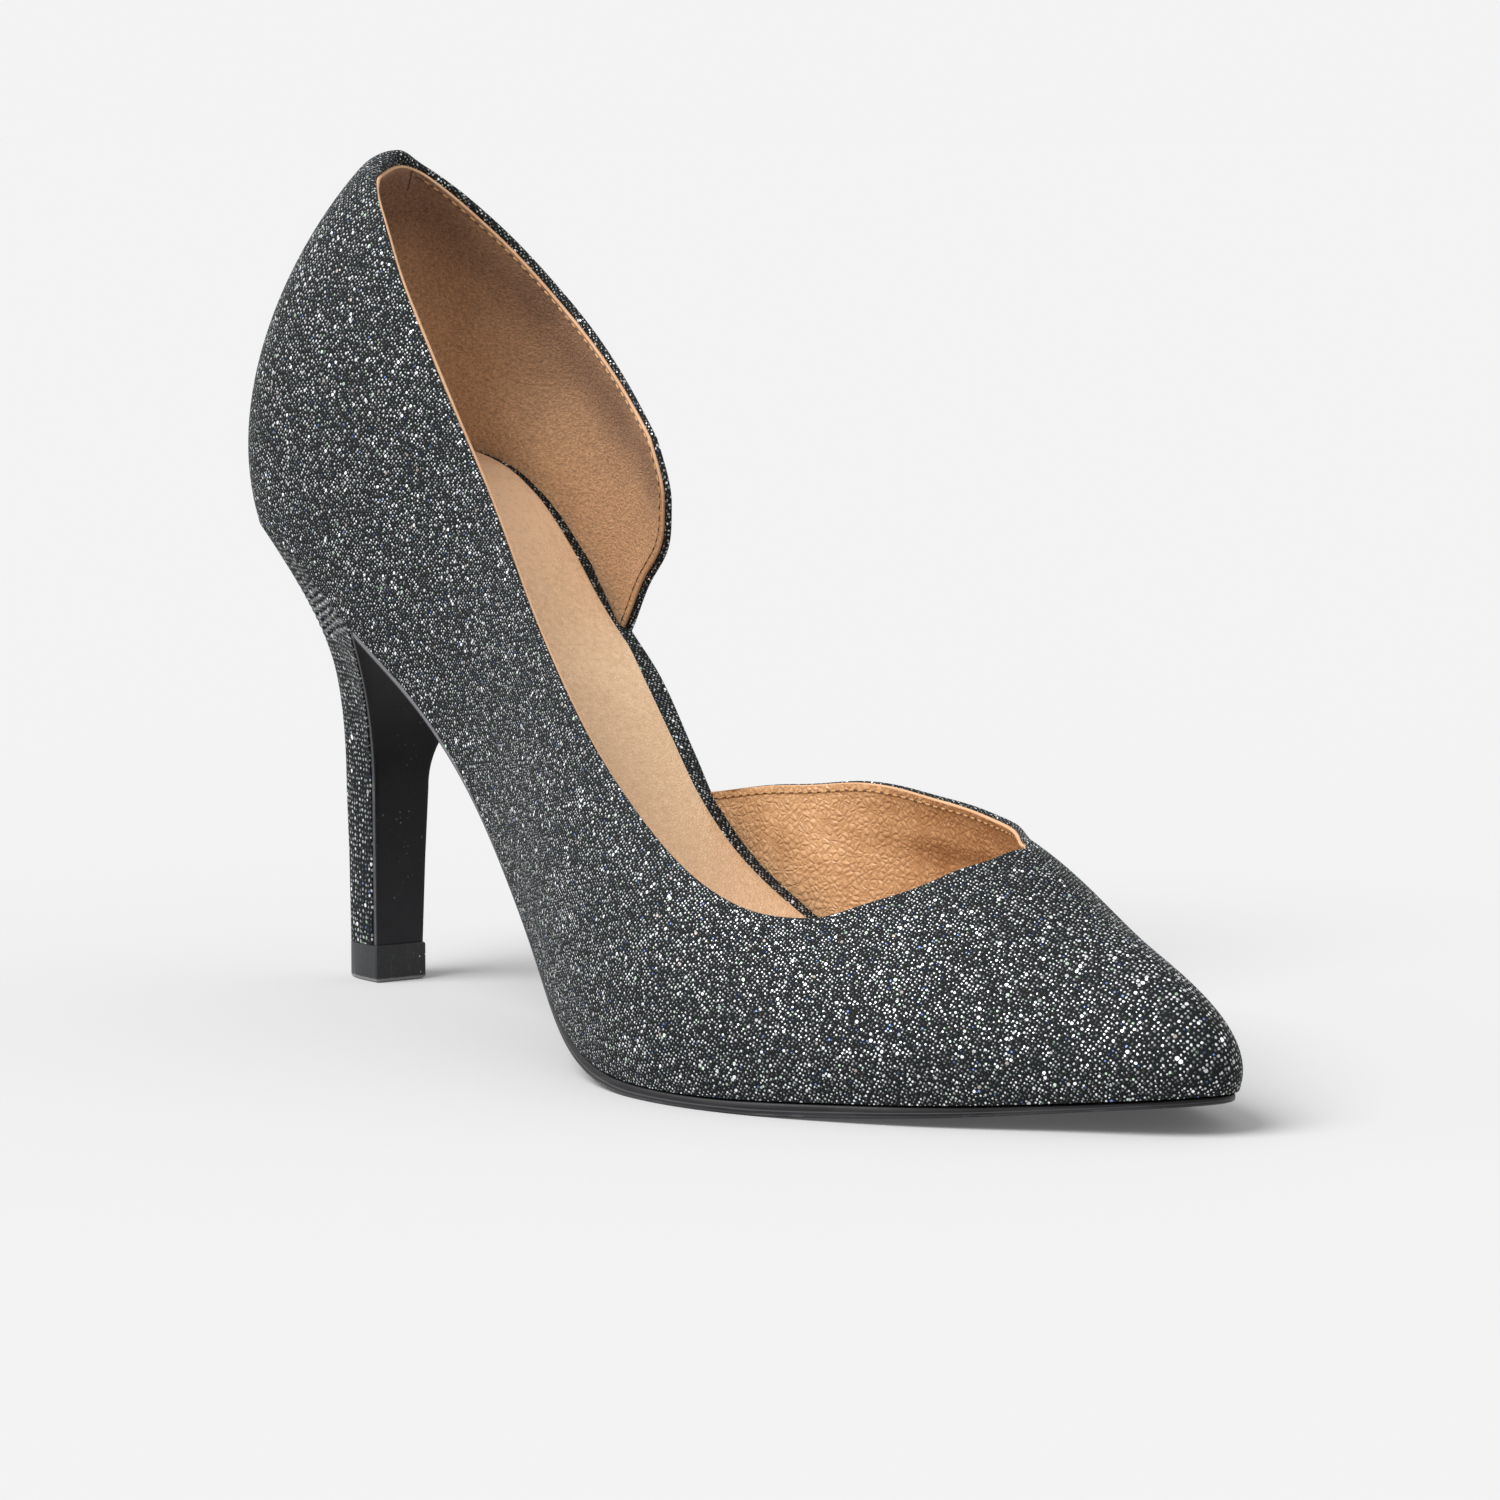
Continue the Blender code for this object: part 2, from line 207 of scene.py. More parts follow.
def footX(turn):
    return last["heelEnd"] + (last["toeEnd"] - last["heelEnd"]) * (1 - np.cos(turn)) / 2


def outline(turn, side, inset=0.0):
    def edge(angle):
        x = footX(angle)
        return np.stack([x, axisY(x) + side * halfWidth[side](x) * np.sin(angle)], -1)

    small = 1e-4
    along = edge(turn + small) - edge(turn - small)
    normal = unit(np.stack([-along[..., 1], along[..., 0]], -1) * side)
    return edge(turn) - normal * np.asarray(inset)[..., None], normal


# a point on the last: share of the way up its rib, from the feather line to the ridge
def rib(turn, share, side):
    plan, normal = outline(turn, side)
    x = plan[..., 0]
    foot = np.concatenate([plan, featherZ(x)[..., None]], -1)
    topX = x - ribSetback(x)
    top = np.stack([topX, axisY(topX), ridgeZ(topX)], -1)
    slope = ridgeZ(topX + 0.5) - ridgeZ(topX - 0.5)
    reach = foot[..., :2] - top[..., :2]
    span = np.linalg.norm(reach, axis=-1)
    toward = reach / np.maximum(span, 1e-6)[..., None]
    lean = np.radians(ribFlare(x))
    rising = np.stack([normal[..., 0] * np.sin(lean), normal[..., 1] * np.sin(lean), np.cos(lean)], -1)
    lower = foot + rising * (ribRise(x) * (top[..., 2] - foot[..., 2]))[..., None]
    falling = np.stack([toward[..., 0], toward[..., 1], slope * toward[..., 0]], -1)
    upper = top + falling * (ribSpread(x) * span)[..., None]
    return cubic(np.asarray(share)[..., None], foot, lower, upper, top)


# how far the wall has leaned out at a height above each station
def wallLean(x, height, side):
    shares = np.linspace(0, 0.4, 17)
    lean = []
    for turn, up in zip(station(x), height):
        points = rib(np.full_like(shares, turn), shares, side)
        _, normal = outline(turn, side)
        away = (points[:, :2] - points[0, :2]) @ normal
        lean.append(np.interp(up, points[:, 2] - points[0, 2], away))
    return np.array(lean)


# a shader's value: sums on it add Math nodes
class Wire:
    def __init__(self, finish, socket):
        self.finish = finish
        self.socket = socket

    def sum(self, operation, first, second):
        return self.finish.node("Math", {"operation": operation}, {0: first, 1: second})["Value"]

    def __add__(self, other):
        return self.sum("ADD", self, other)

    def __radd__(self, other):
        return self.sum("ADD", other, self)

    def __sub__(self, other):
        return self.sum("SUBTRACT", self, other)

    def __rsub__(self, other):
        return self.sum("SUBTRACT", other, self)

    def __mul__(self, other):
        return self.sum("MULTIPLY", self, other)

    def __rmul__(self, other):
        return self.sum("MULTIPLY", other, self)

    def __truediv__(self, other):
        return self.sum("DIVIDE", self, other)

    def __rtruediv__(self, other):
        return self.sum("DIVIDE", other, self)

    def __pow__(self, other):
        return self.sum("POWER", self, other)

    def __rpow__(self, other):
        return self.sum("POWER", other, self)

    def __gt__(self, other):
        return self.sum("GREATER_THAN", self, other)

    def __lt__(self, other):
        return self.sum("LESS_THAN", self, other)

    def __abs__(self):
        return self.sum("ABSOLUTE", self, 0.0)


# a material: values that are the same all over are given by name at the start, the others at the end
class Finish:
    def __init__(self, name, **fixed):
        self.material = bpy.data.materials.new(name)
        self.material.use_nodes = True
        self.tree = self.material.node_tree
        self.shader = self.tree.nodes["Principled BSDF"]
        self.finish(**fixed)

    def feed(self, socket, value):
        if isinstance(value, Wire):
            self.tree.links.new(value.socket, socket)
        else:
            socket.default_value = value

    # settings go on first, then the sockets, by place, identifier or name
    def node(self, kind, settings=None, sockets=None):
        made = self.tree.nodes.new("ShaderNode" + kind)
        for key, value in (settings or {}).items():
            setattr(made, key, value)
        byName = {socket.name: socket for socket in reversed(made.inputs)}
        byName.update({socket.identifier: socket for socket in made.inputs})
        for key, value in (sockets or {}).items():
            self.feed(made.inputs[key] if isinstance(key, int) else byName[key], value)
        outs = {socket.name: Wire(self, socket) for socket in reversed(made.outputs)}
        outs.update({socket.identifier: Wire(self, socket) for socket in made.outputs})
        return outs

    def clip(self, value):
        return self.node("Clamp", {}, {"Value": value})["Result"]

    def mix(self, share, low, high):
        sockets = {"Factor_Float": share, "A_Color": low, "B_Color": high}
        return self.node("Mix", {"data_type": "RGBA"}, sockets)["Result_Color"]

    def noise(self, place, scale, detail=3.0, rough=0.5, twist=0.0):
        sockets = {"Vector": place, "Scale": scale, "Detail": detail, "Roughness": rough}
        sockets["Distortion"] = twist
        return self.node("TexNoise", {}, sockets)["Fac"]

    # distance to the nearest wall between grains
    def grains(self, place, scale):
        sockets = {"Vector": place, "Scale": scale}
        return self.node("TexVoronoi", {"feature": "DISTANCE_TO_EDGE"}, sockets)["Distance"]

    # specks of dirt on a share of the cells, with each cell's third chance
    def specks(self, place, scale, size, sharp, share):
        cells = self.node("TexVoronoi", {}, {"Vector": place, "Scale": scale})
        red, green, blue = self.chances(cells)
        return self.clip((size * green - cells["Distance"]) * sharp) * (red > 1 - share), blue

    def chances(self, cells):
        outs = self.node("SeparateColor", {}, {"Color": cells["Color"]})
        return outs["Red"], outs["Green"], outs["Blue"]

    def split(self, vector):
        outs = self.node("SeparateXYZ", {}, {"Vector": vector})
        return outs["X"], outs["Y"], outs["Z"]

    # object space is the row frame, in metres
    def place(self):
        return self.node("TexCoord")["Object"]

    def weave(self):
        return self.node("UVMap", {"uv_map": "weave"})["UV"]

    def scaled(self, place, scale, turn=0.0):
        sockets = {"Vector": place, "Rotation": (0, 0, turn), "Scale": scale}
        return self.node("Mapping", {}, sockets)["Vector"]

    def shifted(self, place, push, size):
        sockets = {0: push, 1: size, 2: place}
        return self.node("VectorMath", {"operation": "MULTIPLY_ADD"}, sockets)["Vector"]

    def bump(self, height, strength, distance):
        sockets = {"Strength": strength, "Distance": distance, "Height": height}
        return self.node("Bump", {}, sockets)["Normal"]

    def finish(self, **values):
        for socket, value in values.items():
            self.feed(self.shader.inputs[socket.replace("_", " ")], value)
        return self.material


# a colour as seen on screen, 0 to 255, made linear
def tone(red, green, blue):
    parts = [value / 255 for value in (red, green, blue)]
    return tuple(p / 12.92 if p <= 0.04045 else ((p + 0.055) / 1.055) ** 2.4 for p in parts) + (1.0,)


def numbered(points):
    return np.arange(points.shape[0] * points.shape[1]).reshape(points.shape[:2])


def gridFaces(ids, flip=False, closed=False):
    if closed:
        ids = np.concatenate([ids, ids[:1]])
    faces = np.stack([ids[:-1, :-1], ids[1:, :-1], ids[1:, 1:], ids[:-1, 1:]], -1).reshape(-1, 4)
    return faces[:, ::-1] if flip else faces


def cornerPoints(mesh):
    corners = np.empty(len(mesh.loops), np.int32)
    mesh.loops.foreach_get("vertex_index", corners)
    return corners


def addObject(name, data):
    made = bpy.data.objects.new(name, data)
    bpy.context.scene.collection.objects.link(made)
    return made


# stands names the node that the piece replaces; uv, which and gather give the weave's place, the finish of
# each face and the painted highlight and shade of the gathers
def addPiece(name, points, faces, finishes, slot, stands=None, sharp=40.0,
             uv=None, which=None, gather=None):
    mesh = bpy.data.meshes.new(name)
    corners = [list(dict.fromkeys(face)) for face in np.asarray(faces).tolist()]
    mesh.from_pydata(toRow(points).tolist(), [], corners)
    for finish in finishes:
        mesh.materials.append(finish)
    if which is not None:
        mesh.polygons.foreach_set("material_index", np.asarray(which, np.int32))
    if uv is not None:
        layer = mesh.uv_layers.new(name="weave")
        layer.data.foreach_set("uv", np.asarray(uv, np.float32)[cornerPoints(mesh)].ravel())
    if gather is not None:
        heights = mesh.attributes.new("gather", "FLOAT", "POINT")
        heights.data.foreach_set("value", np.asarray(gather, np.float32))
    work = bmesh.new()
    work.from_mesh(mesh)
    bmesh.ops.remove_doubles(work, verts=work.verts, dist=2e-6)
    bmesh.ops.dissolve_degenerate(work, edges=work.edges, dist=1e-7)
    work.to_mesh(mesh)
    work.free()
    mesh.shade_smooth()
    mesh.set_sharp_from_angle(angle=math.radians(sharp))
    piece = addObject(name, mesh)
    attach(piece, "root")
    if stands:
        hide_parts(stands)
    return piece


# flattens a sheet as its pattern piece was cut, and reads the weave in millimetres from that
def flattenPattern(piece, size=1.0):
    bpy.ops.object.select_all(action="DESELECT")
    bpy.context.view_layer.objects.active = piece
    piece.select_set(True)
    piece.data.uv_layers.new(name="weave")
    bpy.ops.object.mode_set(mode="EDIT")
    bpy.ops.mesh.select_all(action="SELECT")
    bpy.ops.uv.unwrap(method="ANGLE_BASED", margin=0.0)
    bpy.ops.object.mode_set(mode="OBJECT")
    mesh = piece.data
    spots = np.empty(len(mesh.vertices) * 3)
    mesh.vertices.foreach_get("co", spots)
    spots = spots.reshape(-1, 3)[cornerPoints(mesh)]
    flat = np.empty(len(mesh.loops) * 2)
    layer = mesh.uv_layers["weave"].data
    layer.foreach_get("uv", flat)
    flat = flat.reshape(-1, 2)
    real = np.linalg.norm(np.diff(spots, axis=0), axis=1)
    drawn = np.linalg.norm(np.diff(flat, axis=0), axis=1)
    keep = (real > 2e-4) & (real < 4e-3) & (drawn > 0)
    scale = 1000 * np.median(real[keep] / drawn[keep])
    layer.foreach_set("uv", (flat * scale / size).astype(np.float32).ravel())
    pulled = real[keep] * 1000 / (drawn[keep] * scale)
    print("weave stretch", np.round(np.percentile(pulled, [2, 50, 98]), 2))


# the top piece ties the last to the frame: its front face and its middle are known in both
topPiece = {
    "front": 24.5, "half": 5.05, "depth": 11.9, "high": 6.3,
    "frontRound": 0.7, "frontPower": 7.0, "backPower": 3.0, "points": 150,
    "steps": """z inset
0 0.62
0.10 0.36
0.24 0.17
0.42 0.05
0.62 0
3 0
5.95 0
6.2 0.06
6.3 0.22""",
    "capShare": 0.45,           # place of a ring between the middle and the edge of each end
    "rubber": tone(24, 25, 27), "wearAndHighlight": tone(160, 160, 162), "grit": tone(210, 212, 214),
}
tipLow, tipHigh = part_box("top_piece")
lastOrigin = np.array([topPiece["front"] - tipHigh[0] * 1000, -(tipLow[1] + tipHigh[1]) * 500, 0.0])


def toRow(points):
    return (np.asarray(points, float) - lastOrigin) * 0.001


def tipFinish():
    made = Finish("tipRubber", Specular_IOR_Level=0.25)
    place = made.place()
    _, _, z = made.split(place)
    fine = made.noise(place, 2400, 3.0)
    streak = made.noise(made.scaled(place, (900.0, 900.0, 160.0)), 1.0, 4.0)
    grit, _ = made.specks(place, 900.0, 0.2, 22, 0.14)
    # paler band along the bottom edge: wear, and painted highlight of the bevel
    wearAndHighlight = made.clip((0.00062 + streak * 0.0003 - z) * 3200)
    scratch = made.clip((streak - 0.62) * 6)
    pale = made.clip(wearAndHighlight * 0.55 + scratch * 0.16 + fine * 0.08)
    ground = made.mix(pale, topPiece["rubber"], topPiece["wearAndHighlight"])
    return made.finish(
        Base_Color=made.mix(grit * 0.7, ground, topPiece["grit"]),
        Roughness=0.40 + wearAndHighlight * 0.25 + fine * 0.12,
        Normal=made.bump(fine * 0.5 + streak * 0.6 + grit, 0.25, 0.00015))


# flat front with softened corners, rounded back
def tipSection(inset):
    size = topPiece
    angles = np.linspace(0, 2 * math.pi, 2400, endpoint=False)
    ahead, aside = np.cos(angles), np.sin(angles)
    depth = np.where(ahead > 0, size["frontRound"], size["depth"] - size["frontRound"] - inset)
    power = np.where(ahead > 0, size["frontPower"], size["backPower"])
    radius = boxRadius(ahead, aside, depth, size["half"] - inset, power)
    loop = np.stack([size["front"] - inset - size["frontRound"] + radius * ahead, radius * aside], -1)
    closed = np.concatenate([loop, loop[:1]])
    run = runAlong(closed)
    return resample(run, closed, np.linspace(0, run[-1], size["points"], endpoint=False))


def makeTip():
    loops = []
    for z, inset in zip(*readTable(topPiece["steps"]).values()):
        loops.append(np.c_[tipSection(inset), np.full(topPiece["points"], z)])
    centres = [loops[row].mean(axis=0) for row in (0, -1)]
    share = topPiece["capShare"]
    under, over = (centre + (loops[row] - centre) * share for row, centre in zip((0, -1), centres))
    hubs = [np.broadcast_to(ring.mean(axis=0), ring.shape) for ring in (under, over)]
    loops = np.array([hubs[0], under] + loops + [over, hubs[1]])
    addPiece("tipLift", loops.reshape(-1, 3), gridFaces(numbered(loops).T, closed=True), [tipFinish()],
             "top_piece", "top_piece", sharp=30)


# charcoal cloth with a silver fleck on every crossing of the weave
cloth = {
    "pitch": 0.59,              # millimetres from fleck to fleck
    "turn": 0.62,               # weave against the pattern piece
    "slip": 0.42, "scatter": 0.52,      # how far the flecks stray from the weave's grid
    "reach": 0.23, "reachMore": 0.15, "sparkReach": 0.18,       # size of a fleck, what chance adds, a spark
    "sparks": 0.965,            # only flecks above this chance are sparks
    "dim": 0.07, "shinePower": 1.7, "sparkShine": 0.5,
    "fleckGain": 0.56, "fleckDrift": 0.46, "paintedLightBack": 0.78, "paintedLightToe": 0.26,     # flecks vary at random, and painted light makes them brighter towards the toe
    # painted glint on the crests of the heel's gathers, and painted shade and highlight by their height
    "gatherGlint": 0.25, "gatherShade": 1.5,
    "ground": tone(8, 10, 10), "groundLight": tone(30, 34, 35),
    "silver": tone(250, 252, 255), "blue": tone(120, 146, 212),
    "green": tone(196, 222, 198), "rose": tone(236, 218, 208),
}


def clothFinish():
    made = Finish("wovenCloth", Specular_IOR_Level=0.12)
    weave = made.weave()
    grid = made.scaled(weave, (1.0 / cloth["pitch"],) * 3, cloth["turn"])
    sockets = {"Vector": grid, "Scale": 0.9, "Detail": 2.0}
    slip = made.node("TexNoise", {"noise_dimensions": "2D"}, sockets)["Color"]
    loose = made.shifted(grid, slip, (cloth["slip"], cloth["slip"], 0.0))
    sockets = {"Vector": loose, "Scale": 1.0, "Randomness": cloth["scatter"]}
    flecks = made.node("TexVoronoi", {"voronoi_dimensions": "2D"}, sockets)
    red, green, blue = made.chances(flecks)
    spark = blue > cloth["sparks"]
    reach = cloth["reach"] + red * cloth["reachMore"] + spark * cloth["sparkReach"]
    fleck = made.clip((reach - flecks["Distance"]) * 8.0)
    shine = cloth["dim"] + green ** cloth["shinePower"] + spark * cloth["sparkShine"]

    # each fleck is a little facet tipped its own way
    away = made.node("VectorMath", {"operation": "SUBTRACT"}, {0: loose, 1: flecks["Position"]})["Vector"]
    awayX, awayY, _ = made.split(away)
    facet = (red - 0.5) * awayX + (green - 0.5) * awayY
    drift = made.noise(weave, 0.09, 2.0)
    thread = made.noise(grid, 2.6, 2.0)
    ground = made.mix(made.clip(thread * 1.6 - 0.4), cloth["ground"], cloth["groundLight"])
    silver = made.mix(blue < 0.03, cloth["silver"], cloth["blue"])
    silver = made.mix((red > 0.95) * (blue > 0.3), silver, cloth["green"])
    silver = made.mix((green < 0.10) * (red > 0.4), silver, cloth["rose"])

    gather = made.node("Attribute", {"attribute_name": "gather"})["Fac"]     # crest above 0, valley below: painted highlight on the crests, painted shade in the valleys
    # painted light: the flecks brighter towards the toe, on top of their random drift
    fore, _, _ = made.split(made.place())
    toeward = made.clip(fore * 4 + 0.5)
    fleckGain = cloth["fleckGain"] + drift * cloth["fleckDrift"]
    fleckGain = fleckGain * (cloth["paintedLightBack"] + toeward * cloth["paintedLightToe"])
    # painted glint on the gathers' crests and painted shade in their valleys
    lit = fleck * shine + made.clip(gather) * cloth["gatherGlint"]
    cover = made.clip(lit * fleckGain * (1 + gather * cloth["gatherShade"]))
    height = fleck * (0.55 + facet * 1.4) + thread * 0.25
    return made.finish(
        Base_Color=made.mix(cover, ground, silver),
        Roughness=0.75 - fleck * 0.40,
        Metallic=fleck * 0.45,
        Normal=made.bump(height, 0.75, 0.00022))


wovenCloth = clothFinish()
print("cloth woven")

# the upper's wall: shares are of the way up the last's rib
wall = {
    "thick": 1.6,
    "throat": 196.0, "quarterFoot": 54.5, "vampFoot": 83.5,
    "lateralTop": """x share
4.3 0.714
20 0.668
36 0.62
51 0.512
58 0.469
64 0.439
70 0.419
80 0.402
94 0.392
115 0.413
137 0.433
147 0.426
162 0.411
168 0.42
173 0.444
177 0.476
180.5 0.526
184.5 0.585
188.5 0.666
191.3 0.745
194 0.84
196 1""",
    "vampTop": """x share
83.5 0.022
91 0.085
99 0.145
108 0.206
117 0.274
126 0.333
135 0.38
145 0.43
155 0.48
165 0.555
175 0.65
183 0.735
189 0.83
193.5 0.935
196 1""",
    "quarterTop": """x share
4.3 0.714
9 0.664
16 0.591
25 0.504
32 0.441
40 0.393
48 0.367
56 0.352
63 0.344
70 0.34""",
    "quarterFront": """up x
0 54.5
0.07 55.7
0.33 60
0.51 64.3
0.67 67.2
0.8 68
0.92 67.4
1 64""",
    "rows": 34, "quarterColumns": 70, "sideColumns": 190, "toeColumns": 46, "vampColumns": 110,
    "flap": 1.2,                # cloth turned in behind the edge
    "frontShort": 0.45, "throatShort": 0.002,       # millimetres at the front ends, turn at the throat
    "foldSteps": 11,
    # the cloth's fold at the wall's top: how deep it reaches, how far its end rises, how full it is,
    # where it starts below the top, and where the lining's edge lies below the top
    "lateralFold": """x deep rise fold drop cut
4.3 3.0 0.35 2.5 0 -0.35
6.4 3.3 0.8 2.4 0 -0.8
9.45 3.4 1.4 2.2 0 -1.4
13.4 3.3 1.8 2.0 0 -1.8
18.2 3.0 1.8 1.6 0 -2.0
23.7 2.4 1.2 1.1 0 -1.6
28 1.6 0.6 0.7 0 -1.0
30.9 1.0 0.3 0.45 0 -0.42
33.5 0.45 0.05 0.3 0.1 -0.02
36 0.15 0 0.22 0.3 0.2
38.3 0.08 0 0.2 0.36 0.27
40.5 0.08 0 0.2 0.34 0.24
42.6 0.12 0 0.22 0.3 0.18
44.6 0.2 0 0.26 0.26 0.1
48 0.2 0 0.28 0.3 0.1
52 0.3 0 0.32 0.32 0.02
56 0.5 0 0.42 0.38 -0.12
64 0.9 0 0.6 0.45 -0.15
76 0.9 0 0.6 0.45 0.05
90 0.9 0 0.6 0.45 0.35
140 0.9 0 0.6 0.45 0.35
200 0.9 0 0.6 0.45 0.35""",
    "medialFold": """x deep rise fold drop cut
4.3 3.0 0.35 2.5 0 -0.35
5 2.6 0.2 1.7 0 -0.2
5.8 2.0 0.05 0.95 0 0
7 1.6 0 0.65 0.05 0.05
10 1.5 0 0.9 0.05 0.05
14 1.5 0 1.25 0 0
20 1.5 0 1.4 0 0
40 1.5 0 1.2 0.1 0.1
50 1.2 0 0.8 0.3 0.3
58 0.9 0 0.6 0.45 0.5
84 0.9 0 0.6 0.45 0.25
130 0.9 0 0.6 0.45 0.25
180 0.9 0 0.6 0.45 0.5
200 0.9 0 0.6 0.45 0.5""",
}
lateralTop = bendTable(wall["lateralTop"], "share")
vampTop = bendTable(wall["vampTop"], "share")
quarterTop = bendTable(wall["quarterTop"], "share")
quarterFront = bendTable(wall["quarterFront"], "x")
folds = {lateral: readTable(wall["lateralFold"]), medial: readTable(wall["medialFold"])}


def foldAt(name, x, side):
    near, far = (np.interp(x, folds[which]["x"], folds[which][name]) for which in (lateral, medial))
    return np.where(side == lateral, near, far)


# a moving mean along the edge takes the corners out of what the tables give
def foldAlong(name, grid):
    values = foldAt(name, grid["edgeX"], grid["edgeSide"])
    return np.convolve(np.pad(values, 3, mode="edge"), np.ones(7) / 7, "valid")[:, None]


# stations spaced evenly by the length of both edges of the sheet
def evenTurns(start, end, count, top, side):
    fine = np.linspace(start, end, 1600)
    run = runAlong(rib(fine, top(footX(fine)), side)) + runAlong(rib(fine, np.zeros_like(fine), side))
    return np.interp(np.linspace(0, run[-1], count), run, fine)


# the share at which a sheet's edge lies some millimetres below the wall's top
def loweredTop(turn, share, drop, side):
    small = 0.004
    speed = np.linalg.norm(rib(turn, share, side) - rib(turn, share - small, side), axis=-1) / small
    return share - drop / np.maximum(speed, 1.0)


# columns of the whole wall, from the quarter's front round counter, outer side and toe to the inner vamp;
# drop names the fold's column that says how far the sheet's edge lies below the wall's top, and the other
# values say how far it stops short at the quarter's front, the vamp's foot and the throat
def wallGrid(drop, quarterShort, vampShort, throatShort):
    rows = wall["rows"]
    up = np.linspace(0, 1, rows)
    turns, shares, sides = [], [], []

    def column(turn, share, side):
        turns.append(np.broadcast_to(turn, up.shape))
        shares.append(share)
        sides.append(side)

    def sideColumns(turn, top, side):
        x = footX(turn)
        lowered = loweredTop(turn, top(x), foldAt(drop, x, side), side)
        for angle, share in zip(turn, np.where(x < wall["throat"] - 1e-6, lowered, 1.0)):
            column(angle, up * share, side)

    frontTurn = station(quarterFront(up) - quarterShort)
    for part in np.linspace(1, 0, wall["quarterColumns"])[:-1]:
        turn = part * frontTurn
        x = footX(turn)
        top = loweredTop(turn[-1:], quarterTop(x[-1:]), foldAt(drop, x[-1:], medial), medial)[0]
        column(turn, up * quarterTop(x) * top / quarterTop(x[-1]), medial)
    throatTurn = float(station(wall["throat"])) - throatShort
    vampStart = station(wall["vampFoot"] + vampShort)
    toe = np.linspace(throatTurn, math.pi, wall["toeColumns"])
    outerTurns = evenTurns(0, throatTurn, wall["sideColumns"], lateralTop, lateral)
    vampTurns = evenTurns(vampStart, throatTurn, wall["vampColumns"], vampTop, medial)
    sideColumns(outerTurns[:-1], lateralTop, lateral)
    throatColumn = len(turns)
    for angle in toe:
        column(angle, up, lateral)
    toeColumn = len(turns) - 1
    for angle in toe[-2::-1]:
        column(angle, up, medial)
    vampColumn = len(turns)
    sideColumns(vampTurns[-2::-1], vampTop, medial)

    turns, shares, sides = np.array(turns), np.array(shares), np.array(sides)
    outer = (sides == lateral)[:, None, None]
    points = np.where(outer, rib(turns, shares, lateral), rib(turns, shares, medial))
    normals = unit(np.cross(np.gradient(points, axis=0), np.gradient(points, axis=1)))
    ids = numbered(points)
    for offset in range(toeColumn - throatColumn + 1):      # both sides share the ridge ahead of the throat
        near, far = toeColumn - offset, toeColumn + offset
        normal = unit(normals[near, -1] + normals[far, -1])
        normals[near, -1] = normals[far, -1] = normal
        points[far, -1] = points[near, -1]
        ids[far, -1] = ids[near, -1]
    path = [(0, row) for row in range(rows - 1)]
    path += [(column, rows - 1) for column in range(throatColumn + 1)]
    path += [(column, rows - 1) for column in range(vampColumn, len(sides))]
    path += [(len(sides) - 1, row) for row in range(rows - 2, -1, -1)]
    columns, lines = np.array(path).T
    edge, edgeNormal = points[columns, lines], normals[columns, lines]
    return {
        "points": points, "normals": normals, "ids": ids, "sides": sides, "x": footX(turns), "path": path,
        "edge": edge, "edgeNormal": edgeNormal,
        "edgeOut": unit(np.cross(edgeNormal, unit(np.gradient(edge, axis=0)))),
        "edgeIds": ids[columns, lines], "edgeX": footX(turns[columns, lines]), "edgeSide": sides[columns],
    }


# the edge of a sheet and the rings that carry it on
def ringIds(grid, rings):
    count = len(grid["edge"])
    added = grid["ids"].size + np.arange(len(rings) * count).reshape(-1, count)
    return np.concatenate([grid["edgeIds"][None], added]).T


def makeUpperCloth():
    grid = wallGrid("drop", wall["frontShort"], wall["frontShort"], wall["throatShort"])
    edge, normal, out = grid["edge"], grid["edgeNormal"], grid["edgeOut"]
    deep, rise, fold = (foldAlong(name, grid) for name in ("deep", "rise", "fold"))
    rings = []
    for t in np.linspace(0, 1, wall["foldSteps"])[1:]:
        upward, inward = cubic(t, 0, fold, rise + fold, rise), cubic(t, 0, 0, deep, deep)
        rings.append(edge + out * upward - normal * inward)
    for part in (0.5, 1.0):
        rings.append(edge - normal * deep + out * (rise - wall["flap"] * part))
    points = np.concatenate([grid["points"].reshape(-1, 3)] + rings)
    faces = np.concatenate([gridFaces(grid["ids"]), gridFaces(ringIds(grid, rings))])
    piece = addPiece("upperCloth", points, faces, [wovenCloth], "upper", "upper", sharp=75)
    flattenPattern(piece)


# leather inside the wall: suede in the quarters, smooth skin ahead
lining = {
    "suedeEnd": 78.0,               # on the last
    "suede": tone(204, 164, 126), "suedeDeep": tone(134, 104, 82),
    "shadeAt": 8.5, "shadeWide": 8.5, "paleEnds": (9.0, 32.0),      # millimetres below the free edge: where the painted shade's band lies and how wide it is, and where painted light grows paler further down
    "skin": tone(222, 180, 136), "skinDeep": tone(150, 106, 68),
    "skinDark": (108.0, 136.0),     # on the last: painted shade, darker towards the toe
    "rawEdge": tone(214, 176, 140), "rawDeep": tone(168, 124, 92),
    "quarterShort": 0.95, "vampShort": 0.2, "throatShort": 0.001,
    "edgeThick": 0.6, "padReach": 8.0, "soleClear": 0.4,
    # the cut edge, from the face to the back: how far back, how far up
    "cutSteps": """back rise
0.05 0.09
0.18 0.15
0.42 0.15
0.58 0.06
0.64 -0.7""",
    # how far the inner quarter's lining leans in over the seat, and where up the wall that ends
    "seatLean": """x deep
12 0
18 0.9
22 2.0
26 2.8
30 3.2
35 2.6
40 1.8
45 0.7
50 0""",
    "leanEnds": (10.0, 27.0),
    # how much thinner the wall is at the foot of the inner vamp, where along the last, and how far up
    "footThin": 0.85, "footThinX": (85.5, 92.0, 104.0, 124.0), "footThinUp": (1.0, 14.0),
    # soft fold under the inner edge of the vamp: ridge and trough below the edge, and where along the last
    "ridgeAt": 7.0, "troughAt": 11.2, "troughShare": 0.6,
    "creaseRise": 0.55, "creaseWide": 2.2, "creaseX": (112.0, 140.0, 176.0, 190.0),
}


